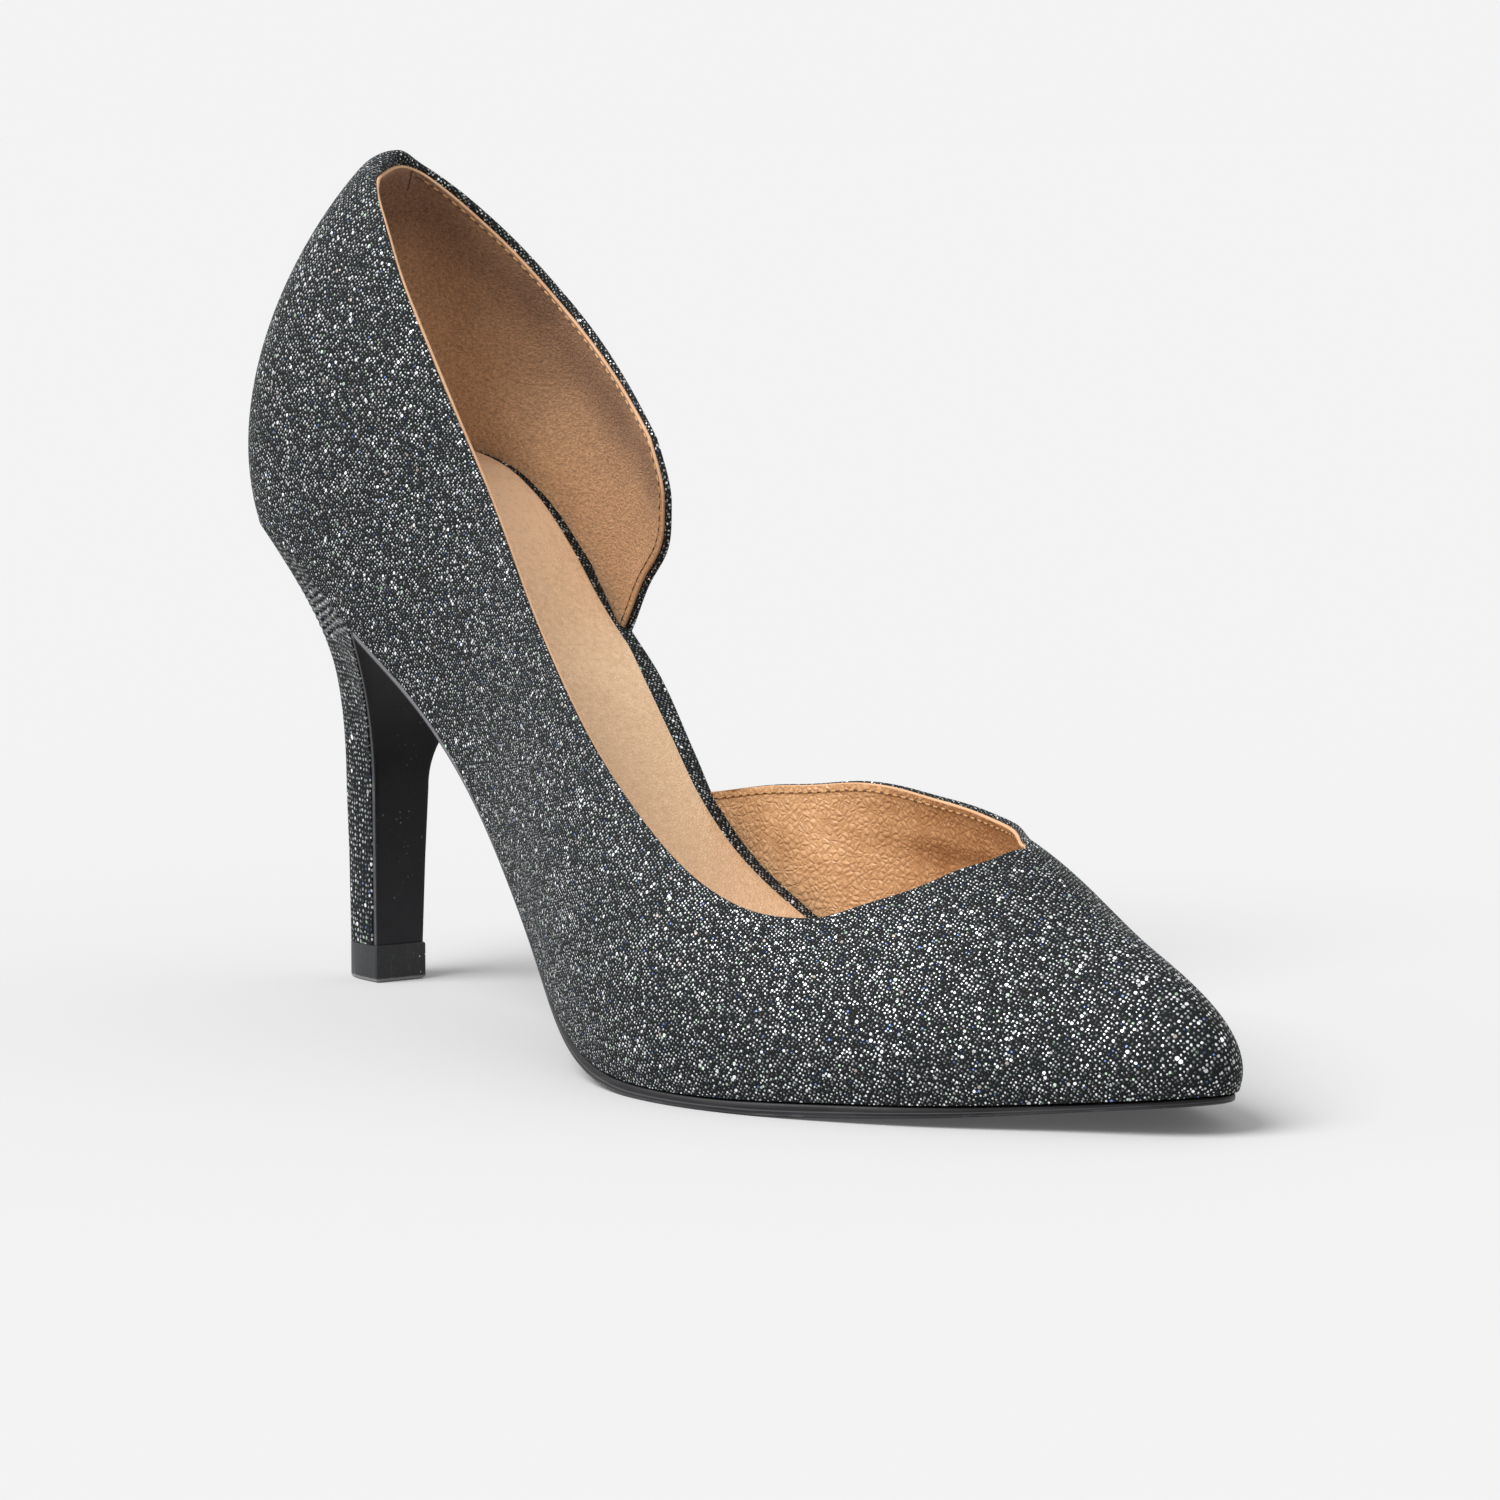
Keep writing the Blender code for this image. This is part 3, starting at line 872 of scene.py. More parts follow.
def liningFinish():
    made = Finish("liningLeather", Specular_IOR_Level=0.4)
    place = made.place()
    along, below, _ = made.split(made.weave())          # station, and millimetres below the free edge
    suede = made.clip((lining["suedeEnd"] - along) * 0.7 + 0.5)
    warp = made.noise(place, 260, 3.0)
    push = made.node("TexNoise", {}, {"Vector": place, "Scale": 640.0, "Detail": 3.0})["Color"]
    crease = made.clip(made.grains(made.shifted(place, push, (0.0012,) * 3), 900.0) * 2.6)
    pores = made.noise(place, 2600, 2.0)
    nap = made.noise(made.scaled(place, (1.0, 1.0, 1.35)), 1500, 3.0, 0.7, 0.2)
    blotch = made.noise(place, 75, 4.0)
    # painted shade in a band below the free edge, and painted light paler further down and further forward
    paintedShadeBand = made.clip(1 - ((below - lining["shadeAt"]) / lining["shadeWide"]) ** 2.0)
    paleStart, paleEnd = lining["paleEnds"]
    lowerPaintedLight = made.clip((below - paleStart) / (paleEnd - paleStart)) + along / 260
    darkStart, darkEnd = lining["skinDark"]
    dark = made.clip((along - darkStart) / (darkEnd - darkStart))
    # painted shade: darker in the grain's creases and towards the toe
    skinShade = made.clip(crease * 0.20 + warp * 0.6 + 0.24 - dark * 0.52)
    skin = made.mix(skinShade, lining["skinDeep"], lining["skin"])
    suedeShadeAndBlotch = made.clip(0.12 + lowerPaintedLight * 0.8 - paintedShadeBand * 0.22 + (blotch - 0.5) * 0.7)
    plain = made.mix(suedeShadeAndBlotch, lining["suedeDeep"], lining["suede"])
    sockets = {0: plain, "Scale": 0.22 + nap * 1.5}
    suedeTone = made.node("VectorMath", {"operation": "SCALE"}, sockets)["Vector"]
    height = (1 - suede) * (crease * 0.9 + warp * 0.9 + pores * 0.15) + suede * nap * 2.6
    return made.finish(
        Base_Color=made.mix(suede, skin, suedeTone),
        Roughness=0.30 + suede * 0.55 + pores * 0.12,
        Normal=made.bump(height, 0.6, 0.0004))


def rawEdgeFinish():
    made = Finish("rawEdge", Roughness=0.75, Specular_IOR_Level=0.25)
    place = made.place()
    fibre = made.noise(place, 1900, 3.0, 0.6)
    shade = made.clip(fibre * 0.8 + made.noise(place, 120, 3.0) * 0.7 - 0.3)
    return made.finish(
        Base_Color=made.mix(shade, lining["rawDeep"], lining["rawEdge"]),
        Normal=made.bump(fibre, 0.4, 0.0002))


def makeLining():
    grid = wallGrid("cut", lining["quarterShort"], lining["vampShort"], lining["throatShort"])
    x = grid["x"]
    inside = (grid["sides"] == medial)[:, None]
    above = runAlong(grid["points"], 1)         # from the foot
    below = above[:, -1:] - above               # from the free edge

    def swell(distance, reach):
        return np.exp(-(distance / reach) ** 2)

    depth = np.full(x.shape, wall["thick"])
    ridge, trough = (swell(below - lining[name], lining["creaseWide"]) for name in ("ridgeAt", "troughAt"))
    crease = lining["creaseRise"] * (ridge - lining["troughShare"] * trough)
    depth += inside * stretch(x, lining["creaseX"]) * crease
    lean = readTable(lining["seatLean"])
    depth += inside * np.interp(x, lean["x"], lean["deep"]) * (1 - ease(above, *lining["leanEnds"]))
    thin = lining["footThin"] * stretch(x, lining["footThinX"])
    depth -= inside * thin * (1 - ease(above, *lining["footThinUp"]))

    # behind the padded top of the counter the lining stands further in
    edgeDepth = foldAlong("deep", grid) + lining["edgeThick"]
    headDepth = foldAt("deep", x[:, -1], grid["sides"]) + lining["edgeThick"]
    for (column, row), deep in zip(grid["path"], edgeDepth[:, 0]):
        if row == wall["rows"] - 1:
            headDepth[column] = deep
    extra = headDepth - wall["thick"]
    padded = swell(below, lining["padReach"])
    depth += extra[:, None] * padded
    for end in (0, -1):
        fromEnd = np.linalg.norm(grid["points"] - grid["points"][end], axis=-1)
        depth += extra[end] * swell(fromEnd, lining["padReach"]) * (1 - padded)

    inner = grid["points"] - grid["normals"] * depth[..., None]
    inner[..., 2] = np.maximum(inner[..., 2], featherZ(inner[..., 0]) + lining["soleClear"])
    rings = []
    for back, rise in zip(*readTable(lining["cutSteps"]).values()):
        rings.append(grid["edge"] - grid["edgeNormal"] * (edgeDepth - back) + grid["edgeOut"] * rise)
    sheet, strip = gridFaces(grid["ids"], flip=True), gridFaces(ringIds(grid, rings), flip=True)
    which = np.r_[np.zeros(len(sheet)), np.ones(len(strip))]
    points = np.concatenate([inner.reshape(-1, 3)] + rings)
    marks = [np.stack([x, below], -1).reshape(-1, 2)]
    marks += [np.c_[grid["edgeX"], 0 * grid["edgeX"]]] * len(rings)
    addPiece("lining", points, np.concatenate([sheet, strip]), [liningFinish(), rawEdgeFinish()], "sock",
             sharp=60, uv=np.concatenate(marks), which=which)
    grid.update(inner=inner, below=below)
    return grid


stitch = {
    "pitch": 2.0, "long": 1.3, "wide": 0.34, "high": 0.17,
    "inside": 1.05,             # from the lining's free edge
    "proud": 0.03,
    "cord": 0.11, "cordStep": 0.7, "cordEnds": 0.5,
    "bare": 40.0,               # no stitches on the outer side behind this station
    "seamX": 5.6, "seamLong": 6.5,
    "gold": (tone(142, 100, 60), tone(206, 164, 112)),
    "dark": (tone(52, 32, 22), tone(92, 60, 40)),
}


def threadFinish(name, low, high):
    made = Finish(name, Roughness=0.55, Specular_IOR_Level=0.4)
    ply = made.noise(made.scaled(made.place(), (1800.0, 1800.0, 2600.0)), 1.0, 2.0)
    return made.finish(Base_Color=made.mix(ply, low, high), Normal=made.bump(ply, 0.5, 0.0001))


# small rounded grains along a line, each turned with it
def stitchRow(spots, along, upward):
    rings, around = 5, 6        # each end is closed by two faces
    points, faces = [], []
    cross = unit(np.cross(upward, along))
    for i, spot in enumerate(spots):
        ids = len(points) + np.arange(rings * around).reshape(rings, around)
        for bow in np.linspace(0, math.pi, rings):
            girth = max(math.sin(bow), 0.25) ** 0.6
            for angle in np.linspace(0, 2 * math.pi, around, endpoint=False):
                points.append(spot + along[i] * math.cos(bow) * stitch["long"] / 2
                              + cross[i] * girth * math.cos(angle) * stitch["wide"] / 2
                              + upward[i] * girth * math.sin(angle) * stitch["high"])
        faces.append(gridFaces(ids.T, closed=True))
        for cap in ids[[0, -1]]:
            faces.append(cap[[[0, 1, 2, 3], [0, 3, 4, 5]]])
    return np.array(points), np.concatenate(faces)


def tube(path, radius, around=6):
    along = unit(np.gradient(path, axis=0))
    side = unit(np.cross(along, np.array([0.31, 0.22, 0.92])))      # no thread runs this way
    up = np.cross(side, along)
    angles = np.linspace(0, 2 * math.pi, around, endpoint=False)
    ring = np.cos(angles)[None, :, None] * side[:, None] + np.sin(angles)[None, :, None] * up[:, None]
    points = path[:, None] + ring * radius
    return points.reshape(-1, 3), gridFaces(numbered(points).T, closed=True)


# a line on the lining, a fixed way inside its free edge
def insideEdge(grid, inside):
    inner, reach = grid["inner"], 12
    line = []
    for column, row in grid["path"]:
        if row == wall["rows"] - 1:
            strip = inner[column, ::-1]
        else:
            strip = inner[:reach, row] if column == 0 else inner[:-reach - 1:-1, row]
        line.append(resample(runAlong(strip), strip, [inside])[0])
    return np.array(line)


def makeThreads(grid):
    line = insideEdge(grid, stitch["inside"]) - grid["edgeNormal"] * stitch["proud"]
    outer = grid["edgeSide"] == lateral
    beforeOuter = np.arange(len(line)) < np.argmax(outer)
    quarter = np.flatnonzero(beforeOuter & (grid["edgeX"] > stitch["seamX"]))
    front = np.arange(np.flatnonzero(outer & (grid["edgeX"] > stitch["bare"]))[0], len(line))
    grains, cords = [], []
    for part in (quarter, front):
        path = line[part]
        run = runAlong(path)
        spots = np.arange(stitch["pitch"], run[-1] - stitch["pitch"], stitch["pitch"])
        along = unit(resample(run, np.gradient(path, axis=0), spots))
        inward = -unit(resample(run, grid["edgeNormal"][part], spots))
        grains.append(stitchRow(resample(run, path, spots), along, inward))
        spots = np.arange(stitch["cordEnds"], run[-1] - stitch["cordEnds"], stitch["cordStep"])
        cords.append(tube(resample(run, path, spots), stitch["cord"]))
    gold, dark = (threadFinish(name + "Thread", *stitch[name]) for name in ("gold", "dark"))
    for name, finish, parts in (("edgeStitches", gold, grains), ("stitchCord", dark, cords)):
        points = np.concatenate([part[0] for part in parts])
        faces = np.concatenate([parts[0][1], parts[1][1] + len(parts[0][0])])
        addPiece(name, points, faces, [finish], "sock")

    # short seam down the lining, just inside the middle of the back
    column = int(np.argmin(np.abs(grid["x"][:, -1] - stitch["seamX"]) + 100 * (grid["sides"] == lateral)))
    seam = grid["inner"][column][grid["below"][column] < stitch["seamLong"]]
    addPiece("backSeam", *tube(seam, stitch["cord"]), [dark], "sock")


makeUpperCloth()
makeThreads(makeLining())
print("upper, lining and stitches made")

# outsole, insole and sock follow the foot
seat = {"thick": 3.0, "pad": 6.4, "padEnds": (22.0, 58.0), "gap": 0.3}


def insoleThick(x):
    return seat["thick"] + seat["pad"] * (1 - ease(x, *seat["padEnds"]))


def slabLoop(turn, level, lateralInset, medialInset):
    x = footX(turn)
    near, _ = outline(turn, lateral, lateralInset(x))
    far, _ = outline(turn[::-1], medial, medialInset(x[::-1]))
    plan = np.concatenate([near, far])
    return np.c_[plan, level(plan[:, 0])]


# loops from the underside to the top, closed by a sheet across each end; faces between the loops come first
def slab(loops, across):
    half = len(loops[0]) // 2
    points = np.concatenate(loops)
    ids = np.arange(len(points)).reshape(len(loops), -1)
    faces = [gridFaces(ids.T, closed=True)]
    share = np.linspace(0, 1, across + 1)[None, 1:-1, None]
    for row, up in ((0, False), (-1, True)):
        near, far = loops[row][:half, None], loops[row][half:][::-1, None]
        span = near * (1 - share) + far * share
        middle = len(points) + numbered(span)
        points = np.concatenate([points, span.reshape(-1, 3)])
        sheet = np.concatenate([ids[row][:half, None], middle, ids[row][half:][::-1, None]], 1)
        faces.append(gridFaces(sheet, flip=not up))
    return points, np.concatenate(faces)


outsole = {
    "waistThick": 1.2, "treadThick": 2.1, "toeThick": 1.1,
    "treadEnds": (92.0, 128.0), "toeEnds": (175.0, 222.0),
    "waistInset": 0.3, "toeInset": 0.55,
    "start": 48.2,              # ahead of the heel's front face
    # bulge of the edge, from the tread up: share of its height, how far in, mark for the finish
    "edgeSteps": """up inset mark
0 0.5 0
0.02 0.30 0.03
0.07 0.14 0.08
0.16 0.04 0.16
0.30 0 0.30
0.46 0.02 0.46
0.62 0 0.62
0.80 0.03 0.80
0.93 0.12 0.93
1 0.28 1""",
    # heights on the edge of two painted highlight lines, as shares of its height
    "highlightUp": 0.46, "lowHighlightUp": 0.16,
    "deep": tone(21, 21, 23), "pale": tone(128, 128, 132),
    "stations": 190, "across": 18,
}


def soleFinish():
    made = Finish("soleRubber", Specular_IOR_Level=0.25)
    place = made.place()
    along, edgeShare, _ = made.split(made.weave())      # station, and 0 on the tread to 1 at the edge's top
    # painted highlight along the top of the edge at the waist
    waist = made.clip((outsole["treadEnds"][0] + 6 - along) / 24) * made.clip((edgeShare - 0.25) * 4)
    fine = made.noise(place, 2200, 3.0)
    streak = made.noise(made.scaled(place, (90.0, 90.0, 1400.0)), 1.0, 3.0)
    lowHighlightBreaks = made.clip((made.noise(place, 150, 5.0, 0.6) - 0.52) * 5)
    # two painted highlight lines along the edge, the lower one broken up by noise
    line = made.clip(1 - abs(edgeShare - outsole["highlightUp"]) * 14)
    lower = made.clip(1 - abs(edgeShare - outsole["lowHighlightUp"]) * 9)
    bright = made.clip(line * 0.25 + lower * (0.15 + lowHighlightBreaks * 0.5) + streak * 0.25 - 0.10 + waist * 0.55)
    return made.finish(
        Base_Color=made.mix(bright, outsole["deep"], outsole["pale"]),
        Roughness=0.42 + fine * 0.2 - line * 0.1,
        Normal=made.bump(fine * 0.5 + streak * 0.5, 0.25, 0.0002))


def makeOutsole():
    size = outsole

    def top(x):
        return featherZ(x) - seat["gap"]

    def tread(x):
        thick = size["waistThick"] + (size["treadThick"] - size["waistThick"]) * ease(x, *size["treadEnds"])
        thick += (size["toeThick"] - size["treadThick"]) * ease(x, *size["toeEnds"])
        return np.maximum(top(x) - thick, 0)

    def side(x):
        waist = size["waistInset"] * (1 - ease(x, *size["treadEnds"]))
        return waist + size["toeInset"] * ease(x, *size["toeEnds"])

    turn = np.linspace(station(size["start"]), math.pi, size["stations"])
    steps = readTable(size["edgeSteps"])
    loops = []
    for up, inset in zip(steps["up"], steps["inset"]):
        def level(x, up=up):
            return tread(x) + up * (top(x) - tread(x))

        def setIn(x, inset=inset):
            return side(x) + inset

        loops.append(slabLoop(turn, level, setIn, setIn))
    points, faces = slab(loops, size["across"])
    marks = np.zeros(len(points))
    marks[:len(loops) * len(loops[0])] = np.repeat(steps["mark"], len(loops[0]))
    addPiece("soleUnit", points, faces, [soleFinish()], "outsole", "outsole",
             sharp=50, uv=np.c_[points[:, 0], marks])


# the insole's board, wrapped in cloth where the inner waist is bare
rim = {
    "edge": 0.4,
    "foot": 0.25, "footLow": 0.02, "footHigh": 0.3,     # slope of the lower edge: how far in, from and to
    "backEnds": (0.7, 1.8),     # ahead of the quarter's foot
    "raise": 0.5,               # thickness of the cloth wrapped over the board
    "swell": 0.8, "swellEnds": (54.5, 66.0, 66.0, 81.0),        # how far the bare rim bulges out, and where
    "under": 0.58, "underEnds": (78.0, 86.0, 104.0, 122.0),     # how far it reaches on under the inner vamp
    "stations": 190, "across": 10,
}


# closer together at both ends of the bare rim
def insoleTurns(count):
    start = wall["quarterFoot"] + np.linspace(*rim["backEnds"], 7)
    end = np.linspace(*rim["underEnds"][:2], 7)
    return np.sort(np.r_[np.linspace(0, math.pi, count), station(start), station(end)])


# how far each point lies along and across the foot, for the weave
def slabWeave(points):
    x = np.linspace(0, 230, 600)
    run = runAlong(np.c_[x, featherZ(x)])
    drop = featherZ(points[:, 0]) + insoleThick(points[:, 0]) - points[:, 2]
    return np.c_[np.interp(points[:, 0], x, run), points[:, 1] + np.sign(points[:, 1]) * drop]


def makeInsole():
    beside = wall["thick"] + 2 * seat["gap"]

    def bare(x):
        start, full, fade, end = rim["underEnds"]
        under = 1 - (1 - rim["under"]) * ease(x, start, full) - rim["under"] * ease(x, fade, end)
        return ease(x, *(wall["quarterFoot"] + step for step in rim["backEnds"])) * under

    # a loop some way up the board, or below its rounded top
    def loop(level, setback, below=None):
        def inset(x, side):
            lean = 0 if below is None else wallLean(x, insoleThick(x) - below, side)
            return beside - lean + setback

        def medialInset(x):
            shown = bare(x)
            bulge = rim["swell"] * stretch(x, rim["swellEnds"])
            return inset(x, medial) * (1 - shown) + setback * shown - bulge

        return slabLoop(turn, level, lambda x: inset(x, lateral), medialInset)

    turn = insoleTurns(rim["stations"])
    loops = [loop(lambda x: featherZ(x) + rim["footLow"], rim["foot"])]
    loops.append(loop(lambda x: featherZ(x) + rim["footHigh"], 0))
    for angle in np.linspace(0, math.pi / 2, 6):
        below = rim["edge"] * (1 - math.sin(angle))
        setback = rim["edge"] * (1 - math.cos(angle))
        loops.append(loop(lambda x: featherZ(x) + insoleThick(x) + rim["raise"] - below, setback, below))
    points, faces = slab(loops, rim["across"])
    addPiece("clothRim", points, faces, [wovenCloth], "insole", "insole", sharp=60, uv=slabWeave(points))


sock = {
    "thick": 0.8,
    # further setback from the inner rim
    "rimShow": """x wide
12 0
15 0.3
18 1.2
22 2.5
26 3.4
30 3.8
35 3.4
40 2.8
45 2.0
50 1.5
56 0.8
60 0.4
66 0.8
76 1.0
84 1.5
150 1.5
195 0.5""",
    # the cut edge, from the insole up: share of the thickness, how far in
    "edgeSteps": """up inset
0 0
0.36 0
0.52 0.07
0.68 0.3
0.84 0.8
0.95 1.5
1 2.4""",
    "rawSteps": 3,              # steps of the edge that show raw leather
    "face": tone(222, 188, 152), "faceDeep": tone(196, 160, 124),
    "facePale": tone(244, 208, 172),        # on the seat: painted light at the heel end
    "edge": tone(236, 208, 176),
    "stations": 170, "across": 16,
}


def sockFinish():
    made = Finish("sockLeather", Specular_IOR_Level=0.4)
    place = made.place()
    cells = made.clip(made.grains(place, 1500.0) * 4.0)
    fine = made.noise(place, 3000, 2.0)
    pebble = made.noise(place, 950, 3.0, 0.6)
    cloud = made.noise(place, 40, 4.0)
    fore, _, _ = made.split(place)
    # painted light paler at the heel end of the seat, and the pebble grain's colour painting shade in its
    # hollows
    heelPaintedLight = made.clip(fore * -24 - 0.9)
    shade = made.clip(cells * 0.3 + cloud * 0.7 + (pebble - 0.5) * 1.6 + heelPaintedLight * 0.5)
    face = made.mix(heelPaintedLight, sock["face"], sock["facePale"])
    return made.finish(
        Base_Color=made.mix(shade, sock["faceDeep"], face),
        Roughness=0.46 + fine * 0.16,
        Normal=made.bump(cells * 0.8 + fine * 0.5 + pebble * 1.2, 0.5, 0.0002))


def sockEdgeFinish():
    made = Finish("sockCutEdge", Roughness=0.8, Specular_IOR_Level=0.2)
    fibre = made.noise(made.place(), 1700, 3.0, 0.6)
    return made.finish(
        Base_Color=made.mix(fibre, sock["faceDeep"], sock["edge"]),
        Normal=made.bump(fibre, 0.4, 0.00015))


def makeSock():
    beside = wall["thick"] + 3 * seat["gap"]
    shown = readTable(sock["rimShow"])

    def inset(x, side):
        return beside - wallLean(x, insoleThick(x), side)

    def medialInset(x):
        return inset(x, medial) + np.interp(x, shown["x"], shown["wide"])

    turn = insoleTurns(sock["stations"])
    loops = []
    for up, back in zip(*readTable(sock["edgeSteps"]).values()):
        rise = seat["gap"] + up * sock["thick"]
        loops.append(slabLoop(turn, lambda x: featherZ(x) + insoleThick(x) + rise,
                              lambda x: inset(x, lateral) + back,
                              lambda x: medialInset(x) + back))
    points, faces = slab(loops, sock["across"])
    steps = len(loops) - 1
    order = np.arange(len(faces))
    raw = (order < steps * len(loops[0])) & (order % steps < sock["rawSteps"])
    finishes = [sockFinish(), sockEdgeFinish()]
    addPiece("sockSheet", points, faces, finishes, "sock", "sock", sharp=55, which=raw)


makeOutsole()
makeInsole()
makeSock()
print("sole, rim and sock made")

heel = {
    "breast": 47.0,             # feather station of the front face
    "seam": 0.06,               # from the upper's foot
    "stem": """z front half depth
6.6 22.8 4.95 10.1
21 23.2 5.3 10.6
33 23.7 5.7 11.5""",
    "fullness": 3.0, "knee": 0.45, "kneeRise": 0.9, "kneePull": 0.6,
    "columns": 90, "gatherColumns": 170, "gatherShare": 0.34, "stemRows": 26, "flareRows": 96,
    "lap": 0.45, "lapRise": 0.35, "lapIn": 2.2, "lapEnd": 0.2,      # cloth turned round onto the front face
    "fleckSize": 1.55,
    # gathers beside the outer front corner: the way in which they follow each other, the first, pitch,
    # count, height, and how far they reach below the seat and back from the corner
    "gatherRun": (-0.376, -0.481, 0.792), "gatherStart": -0.9, "gatherPitch": 1.3, "gathers": 11,
    "gatherHigh": 0.5, "gatherReach": (20.0, 28.0), "gatherAcross": (16.0, 32.0),
}


# rows of the heel's skin from stem to seat, each from the outer front edge round the back to the inner one
def heelRows():
    dense = np.linspace(0, heel["gatherShare"], heel["gatherColumns"])
    outer = np.r_[dense[:-1], np.linspace(heel["gatherShare"], 1, heel["columns"])]
    inner = np.linspace(1, 0, heel["columns"])[1:]
    rows = []
    for side, share in ((lateral, outer), (medial, inner)):
        plan, _ = outline(station(heel["breast"]) * (1 - share), side)
        rows.append(np.c_[plan, featherZ(plan[:, 0]) - heel["seam"]])
    seatRow = np.concatenate(rows)
    angles = np.r_[outer - 1, 1 - inner] * math.pi / 2
    back, aside = np.cos(angles), np.sin(angles)
    stem = readTable(heel["stem"])
    levels = []
    for z in np.linspace(topPiece["high"] + 0.04, stem["z"][-1], heel["stemRows"]):
        front, half, depth = (np.interp(z, stem["z"], stem[name]) for name in ("front", "half", "depth"))
        radius = boxRadius(back, aside, depth, half, heel["fullness"])
        levels.append(np.c_[front - radius * back, radius * aside, np.full(len(seatRow), z)])
    waist = levels[-1]
    knee = waist.copy()
    knee[:, 2] += heel["knee"] * (seatRow[:, 2] - waist[:, 2])
    first = waist + heel["kneeRise"] * (knee - waist)
    second = seatRow + heel["kneePull"] * (knee - seatRow)
    for v in np.linspace(0, 1, heel["flareRows"])[1:]:
        levels.append(cubic(v, waist, first, second, seatRow))
    return np.array(levels)


# folds of the cloth under the seat, beside the outer front corner: their height, and how strongly they
# show, as painted highlight on the crests and painted shade in the valleys
def heelGathers(rows):
    up, across = runAlong(rows, 0), runAlong(rows, 1)
    fromSeat = up[-1][None] - up
    turn = ((rows - rows[-1, 0]) @ np.array(heel["gatherRun"]) - heel["gatherStart"]) / heel["gatherPitch"]
    turn = turn + 0.12 * np.sin(1.9 * turn + 0.35 * fromSeat) + 0.16 * np.sin(0.42 * across + 0.9 * turn)
    strength = ease(turn, 0.0, 0.7) * (1 - ease(turn, 0.55 * heel["gathers"], heel["gathers"]))
    strength = strength * ease(fromSeat, 0.0, 0.9) * (1 - ease(fromSeat, *heel["gatherReach"]))
    strength = strength * (1 - ease(across, *heel["gatherAcross"]))
    strength[:, heel["gatherColumns"] + heel["columns"]:] = 0
    fold = np.abs(np.sin(math.pi * turn)) ** 0.8 - 0.85
    return heel["gatherHigh"] * strength * fold, strength * (fold + 0.25) * 1.6


def makeHeel():
    rows = heelRows()
    normals = unit(np.cross(np.gradient(rows, axis=0), np.gradient(rows, axis=1)))
    height, shown = heelGathers(rows)
    rows = rows + normals * height[..., None]

    # the cloth turns round the front edges: how far ahead, how far in
    lap = heel["lap"]
    turns = [(lap * heel["lapRise"] * math.sin(angle), lap * (1 - math.cos(angle)))
             for angle in np.linspace(0, math.pi / 2, 5)[1:]]
    turns.append((lap * heel["lapEnd"], heel["lapIn"]))
    before = [rows[:, 0] + np.array([ahead, inward, 0]) for ahead, inward in turns]
    after = [rows[:, -1] + np.array([ahead, -inward, 0]) for ahead, inward in turns]
    sheet = np.concatenate([np.stack(before[::-1], 1), rows, np.stack(after, 1)], 1)
    # marks carry the gathers' painted highlight and painted shade into the cloth's finish
    marks = np.pad(shown, ((0, 0), (len(turns), len(turns))))
    faces = gridFaces(numbered(sheet))
    piece = addPiece("heelCover", sheet.reshape(-1, 3), faces, [wovenCloth], "heel", "heel",
                     sharp=70, gather=marks.ravel())
    flattenPattern(piece, heel["fleckSize"])


# sheet down the front of the heel
breast = {
    "thick": 0.8, "outerInset": 0.35, "innerInset": 0.15, "soft": 0.22, "softStep": 0.06,
    "satin": tone(6, 6, 8), "satinPale": tone(38, 38, 41), "dust": tone(150, 152, 156), "dustTop": 0.036,
    "cut": tone(44, 44, 48), "cutPale": tone(96, 96, 100),
    "across": 14,
}


def satinFinish():
    made = Finish("breastSatin", Specular_IOR_Level=0.2)
    place = made.place()
    ribs = made.noise(made.scaled(place, (1.0, 3400.0, 260.0)), 1.0, 2.0)
    dust, chance = made.specks(place, 1100.0, 0.26, 14, 0.5)
    haze = made.noise(place, 140, 4.0)
    _, _, z = made.split(place)
    low = made.clip((breast["dustTop"] - z) / 0.03)
    pale = made.clip(ribs * 0.4 + haze * 0.5 - 0.35 + low * 0.75)
    ground = made.mix(pale, breast["satin"], breast["satinPale"])
    return made.finish(
        Base_Color=made.mix(dust * chance * (0.20 + low * 0.7), ground, breast["dust"]),
        Roughness=0.34 + ribs * 0.16 + dust * 0.3,
        Normal=made.bump(ribs, 0.2, 0.0001))


def cutEdgeFinish():
    made = Finish("breastCutEdge", Roughness=0.7, Specular_IOR_Level=0.3)
    place = made.place()
    fibre = made.noise(place, 1500, 4.0, 0.7)
    notch = made.noise(place, 480, 3.0)
    return made.finish(
        Base_Color=made.mix(made.clip(fibre * 0.9 + notch * 0.7 - 0.45), breast["cut"], breast["cutPale"]),
        Normal=made.bump(fibre + notch, 0.5, 0.0003))


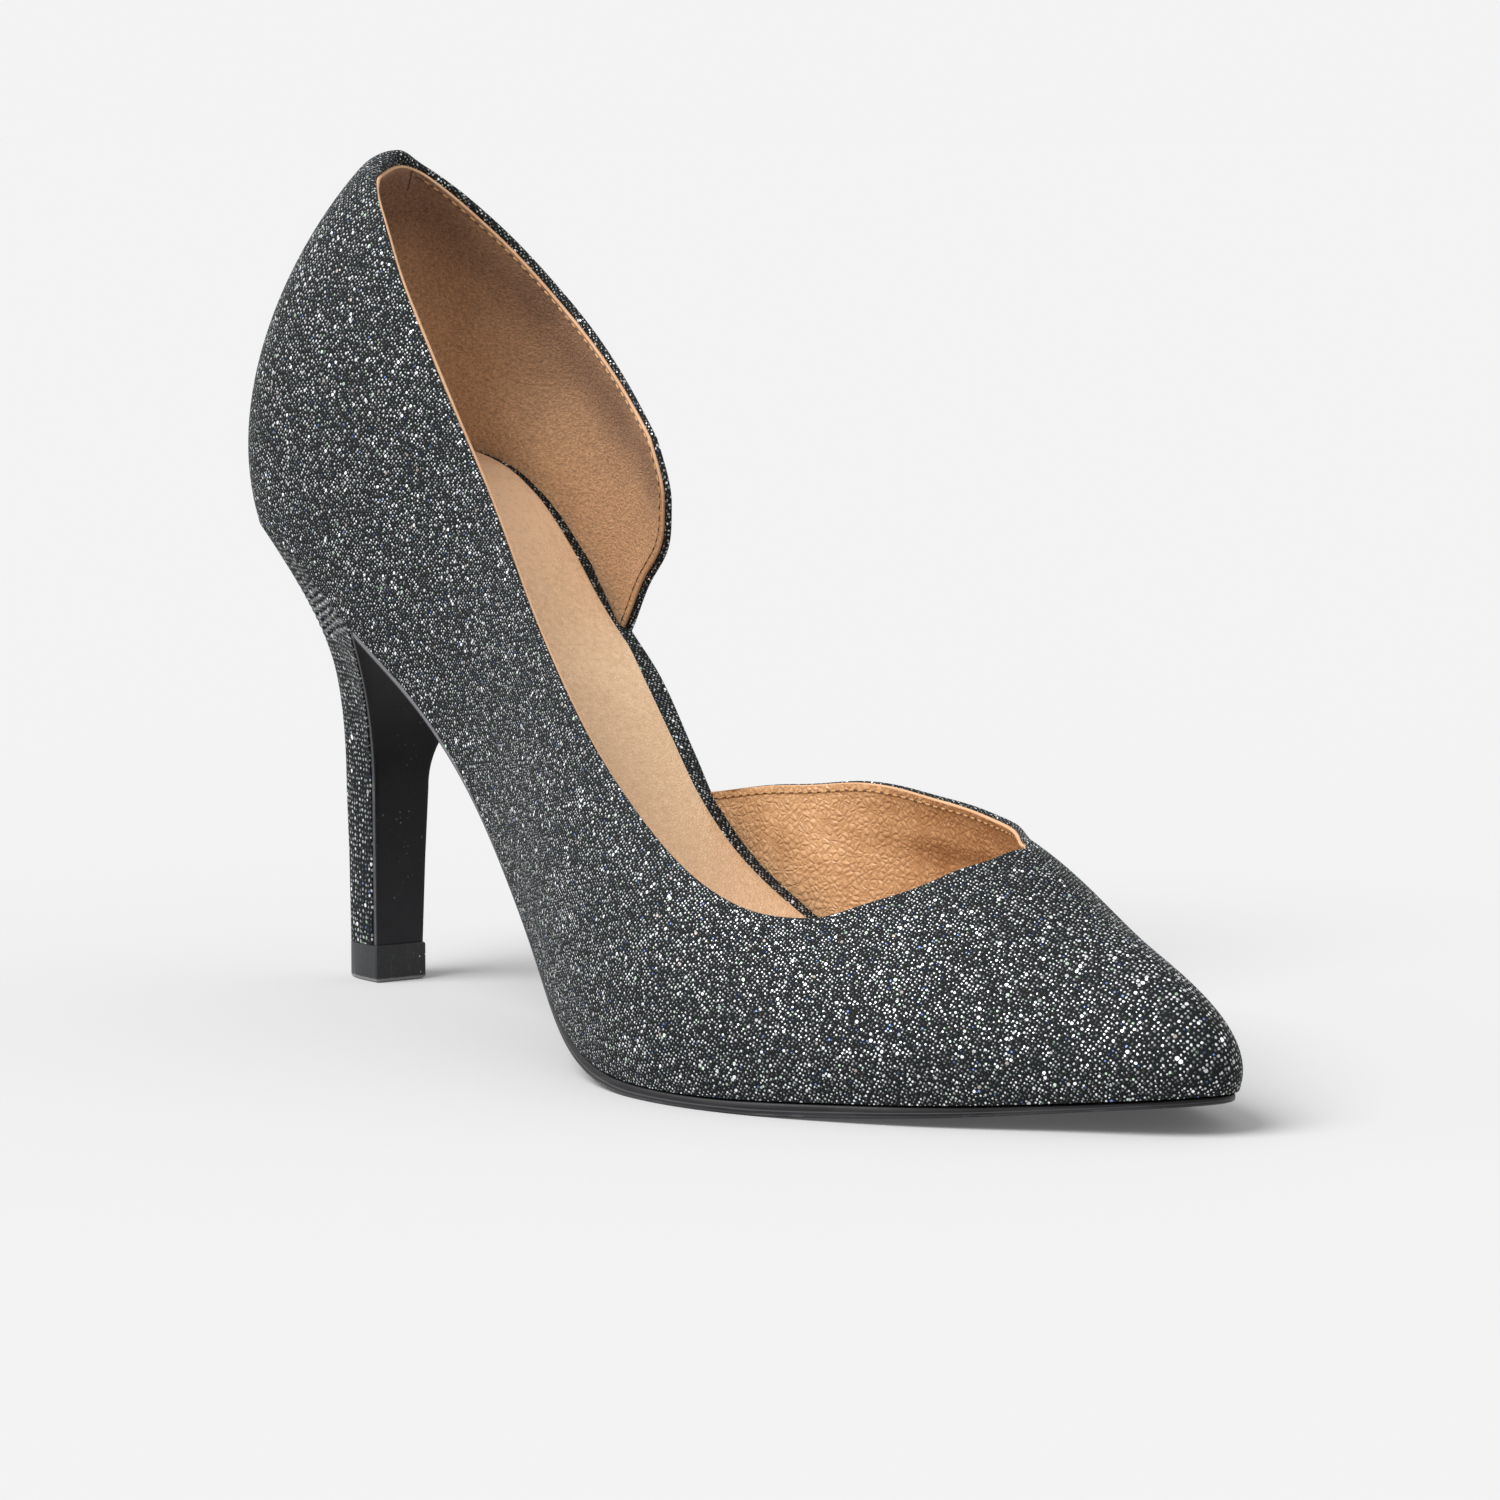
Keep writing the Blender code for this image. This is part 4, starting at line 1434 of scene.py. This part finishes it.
def makeBreast():
    rows = heelRows()
    outer, front = rows[:, 0], rows[:, -1]
    along = unit(np.gradient(front[:, [0, 2]], axis=0))
    ahead = np.c_[along[:, 1], np.zeros(len(along)), -along[:, 0]]
    low, high = outer[:, 1] + breast["outerInset"], front[:, 1] - breast["innerInset"]
    half = (high - low) / 2
    middle = np.c_[front[:, 0], (high + low) / 2, front[:, 2]]
    near, far = seat["gap"] * 0.4, seat["gap"] + breast["thick"]
    soft, step = breast["soft"], breast["softStep"]
    # across the sheet: share of its half width, how far in, how far ahead
    edge = [(1.0, 0.0, near), (1.0, 0.0, far - soft), (1.0, step, far - step), (1.0, soft, far)]
    columns = [(-share, inset, deep) for share, inset, deep in edge]
    columns += [(share, 0.0, far) for share in np.linspace(-1, 1, breast["across"])[1:-1]]
    columns += edge[::-1]
    grid = []
    for share, inset, deep in columns:
        aside = (half - inset) * share
        grid.append(middle + ahead * deep + np.c_[0 * aside, aside, 0 * aside])
    grid = np.array(grid)
    which = np.zeros((len(columns), len(front) - 1))
    which[:1] = which[-2:] = 1
    faces = gridFaces(numbered(grid), closed=True)
    addPiece("breastSheet", grid.reshape(-1, 3), faces, [satinFinish(), cutEdgeFinish()],
             "breast_cover", "breast_cover", sharp=50, which=which.ravel())


makeHeel()
makeBreast()
makeTip()
print("heel, breast and tip made")

studio = {
    "paper": 0.896,             # how bright the paper looks in the picture
    "paperGlow": 0.08,          # share that the paper lights by itself, so that shadows stay pale
    "paperGrain": (0.995, 1.005),
    "keyStrength": 4.4, "keyRise": 50.0, "keyAside": -58.0, "keySoft": 40.0,
    "floorReach": 40.0,
    "aim": (124.64, 0.0, 48.0), "aimDistance": 940.43,          # millimetres on the last
    "azimuth": 53.621, "elevation": 5.946, "lens": 144.25, "sensor": 36.0,
}


def viewFrame(azimuth, elevation):
    a, e = math.radians(azimuth), math.radians(elevation)
    back = Vector((math.sin(a) * math.cos(e), -math.cos(a) * math.cos(e), math.sin(e)))
    right = Vector((math.cos(a), math.sin(a), 0))
    return right, back.cross(right), back


def makeCamera():
    right, up, back = viewFrame(studio["azimuth"], studio["elevation"])
    data = bpy.data.cameras.new("camera")
    data.lens = studio["lens"]
    data.sensor_width = studio["sensor"]
    data.clip_end = 100.0
    camera = addObject("camera", data)
    place = Vector(toRow(studio["aim"])) + back * (studio["aimDistance"] * 0.001)
    camera.matrix_world = Matrix.Translation(place) @ Matrix((right, up, back)).transposed().to_4x4()
    bpy.context.scene.camera = camera


def makeLights():
    world = bpy.data.worlds.new("studio")
    world.use_nodes = True
    ground = world.node_tree.nodes["Background"]
    ground.inputs["Color"].default_value = (1.0, 1.0, 1.0, 1.0)
    ground.inputs["Strength"].default_value = studio["paper"]
    bpy.context.scene.world = world
    _, _, toward = viewFrame(studio["azimuth"] + studio["keyAside"], studio["keyRise"])
    data = bpy.data.lights.new("keyLight", "SUN")
    data.energy = studio["keyStrength"]
    data.angle = math.radians(studio["keySoft"])
    lamp = addObject("keyLight", data)
    lamp.rotation_mode = "QUATERNION"
    lamp.rotation_quaternion = toward.to_track_quat("Z", "Y")


# the floor ends up as bright as the sky behind it, so no horizon shows
def makePaper():
    key = studio["keyStrength"] * math.sin(math.radians(studio["keyRise"])) / math.pi
    level = (studio["paper"] - studio["paperGlow"]) / (studio["paper"] + key)
    made = Finish("floorPaper", Roughness=1.0, Specular_IOR_Level=0.0,
                  Emission_Color=(1.0, 1.0, 1.0, 1.0), Emission_Strength=studio["paperGlow"])
    speckle = made.noise(made.place(), 900, 2.0)
    low, high = ((level * share,) * 3 + (1.0,) for share in studio["paperGrain"])
    reach = studio["floorReach"]
    mesh = bpy.data.meshes.new("floor")
    corners = [(-reach, -reach, 0), (reach, -reach, 0), (reach, reach, 0), (-reach, reach, 0)]
    mesh.from_pydata(corners, [], [(0, 1, 2, 3)])
    mesh.materials.append(made.finish(Base_Color=made.mix(speckle, low, high)))
    floor = addObject("floor", mesh)


makeCamera()
makeLights()
makePaper()
print("stage set")
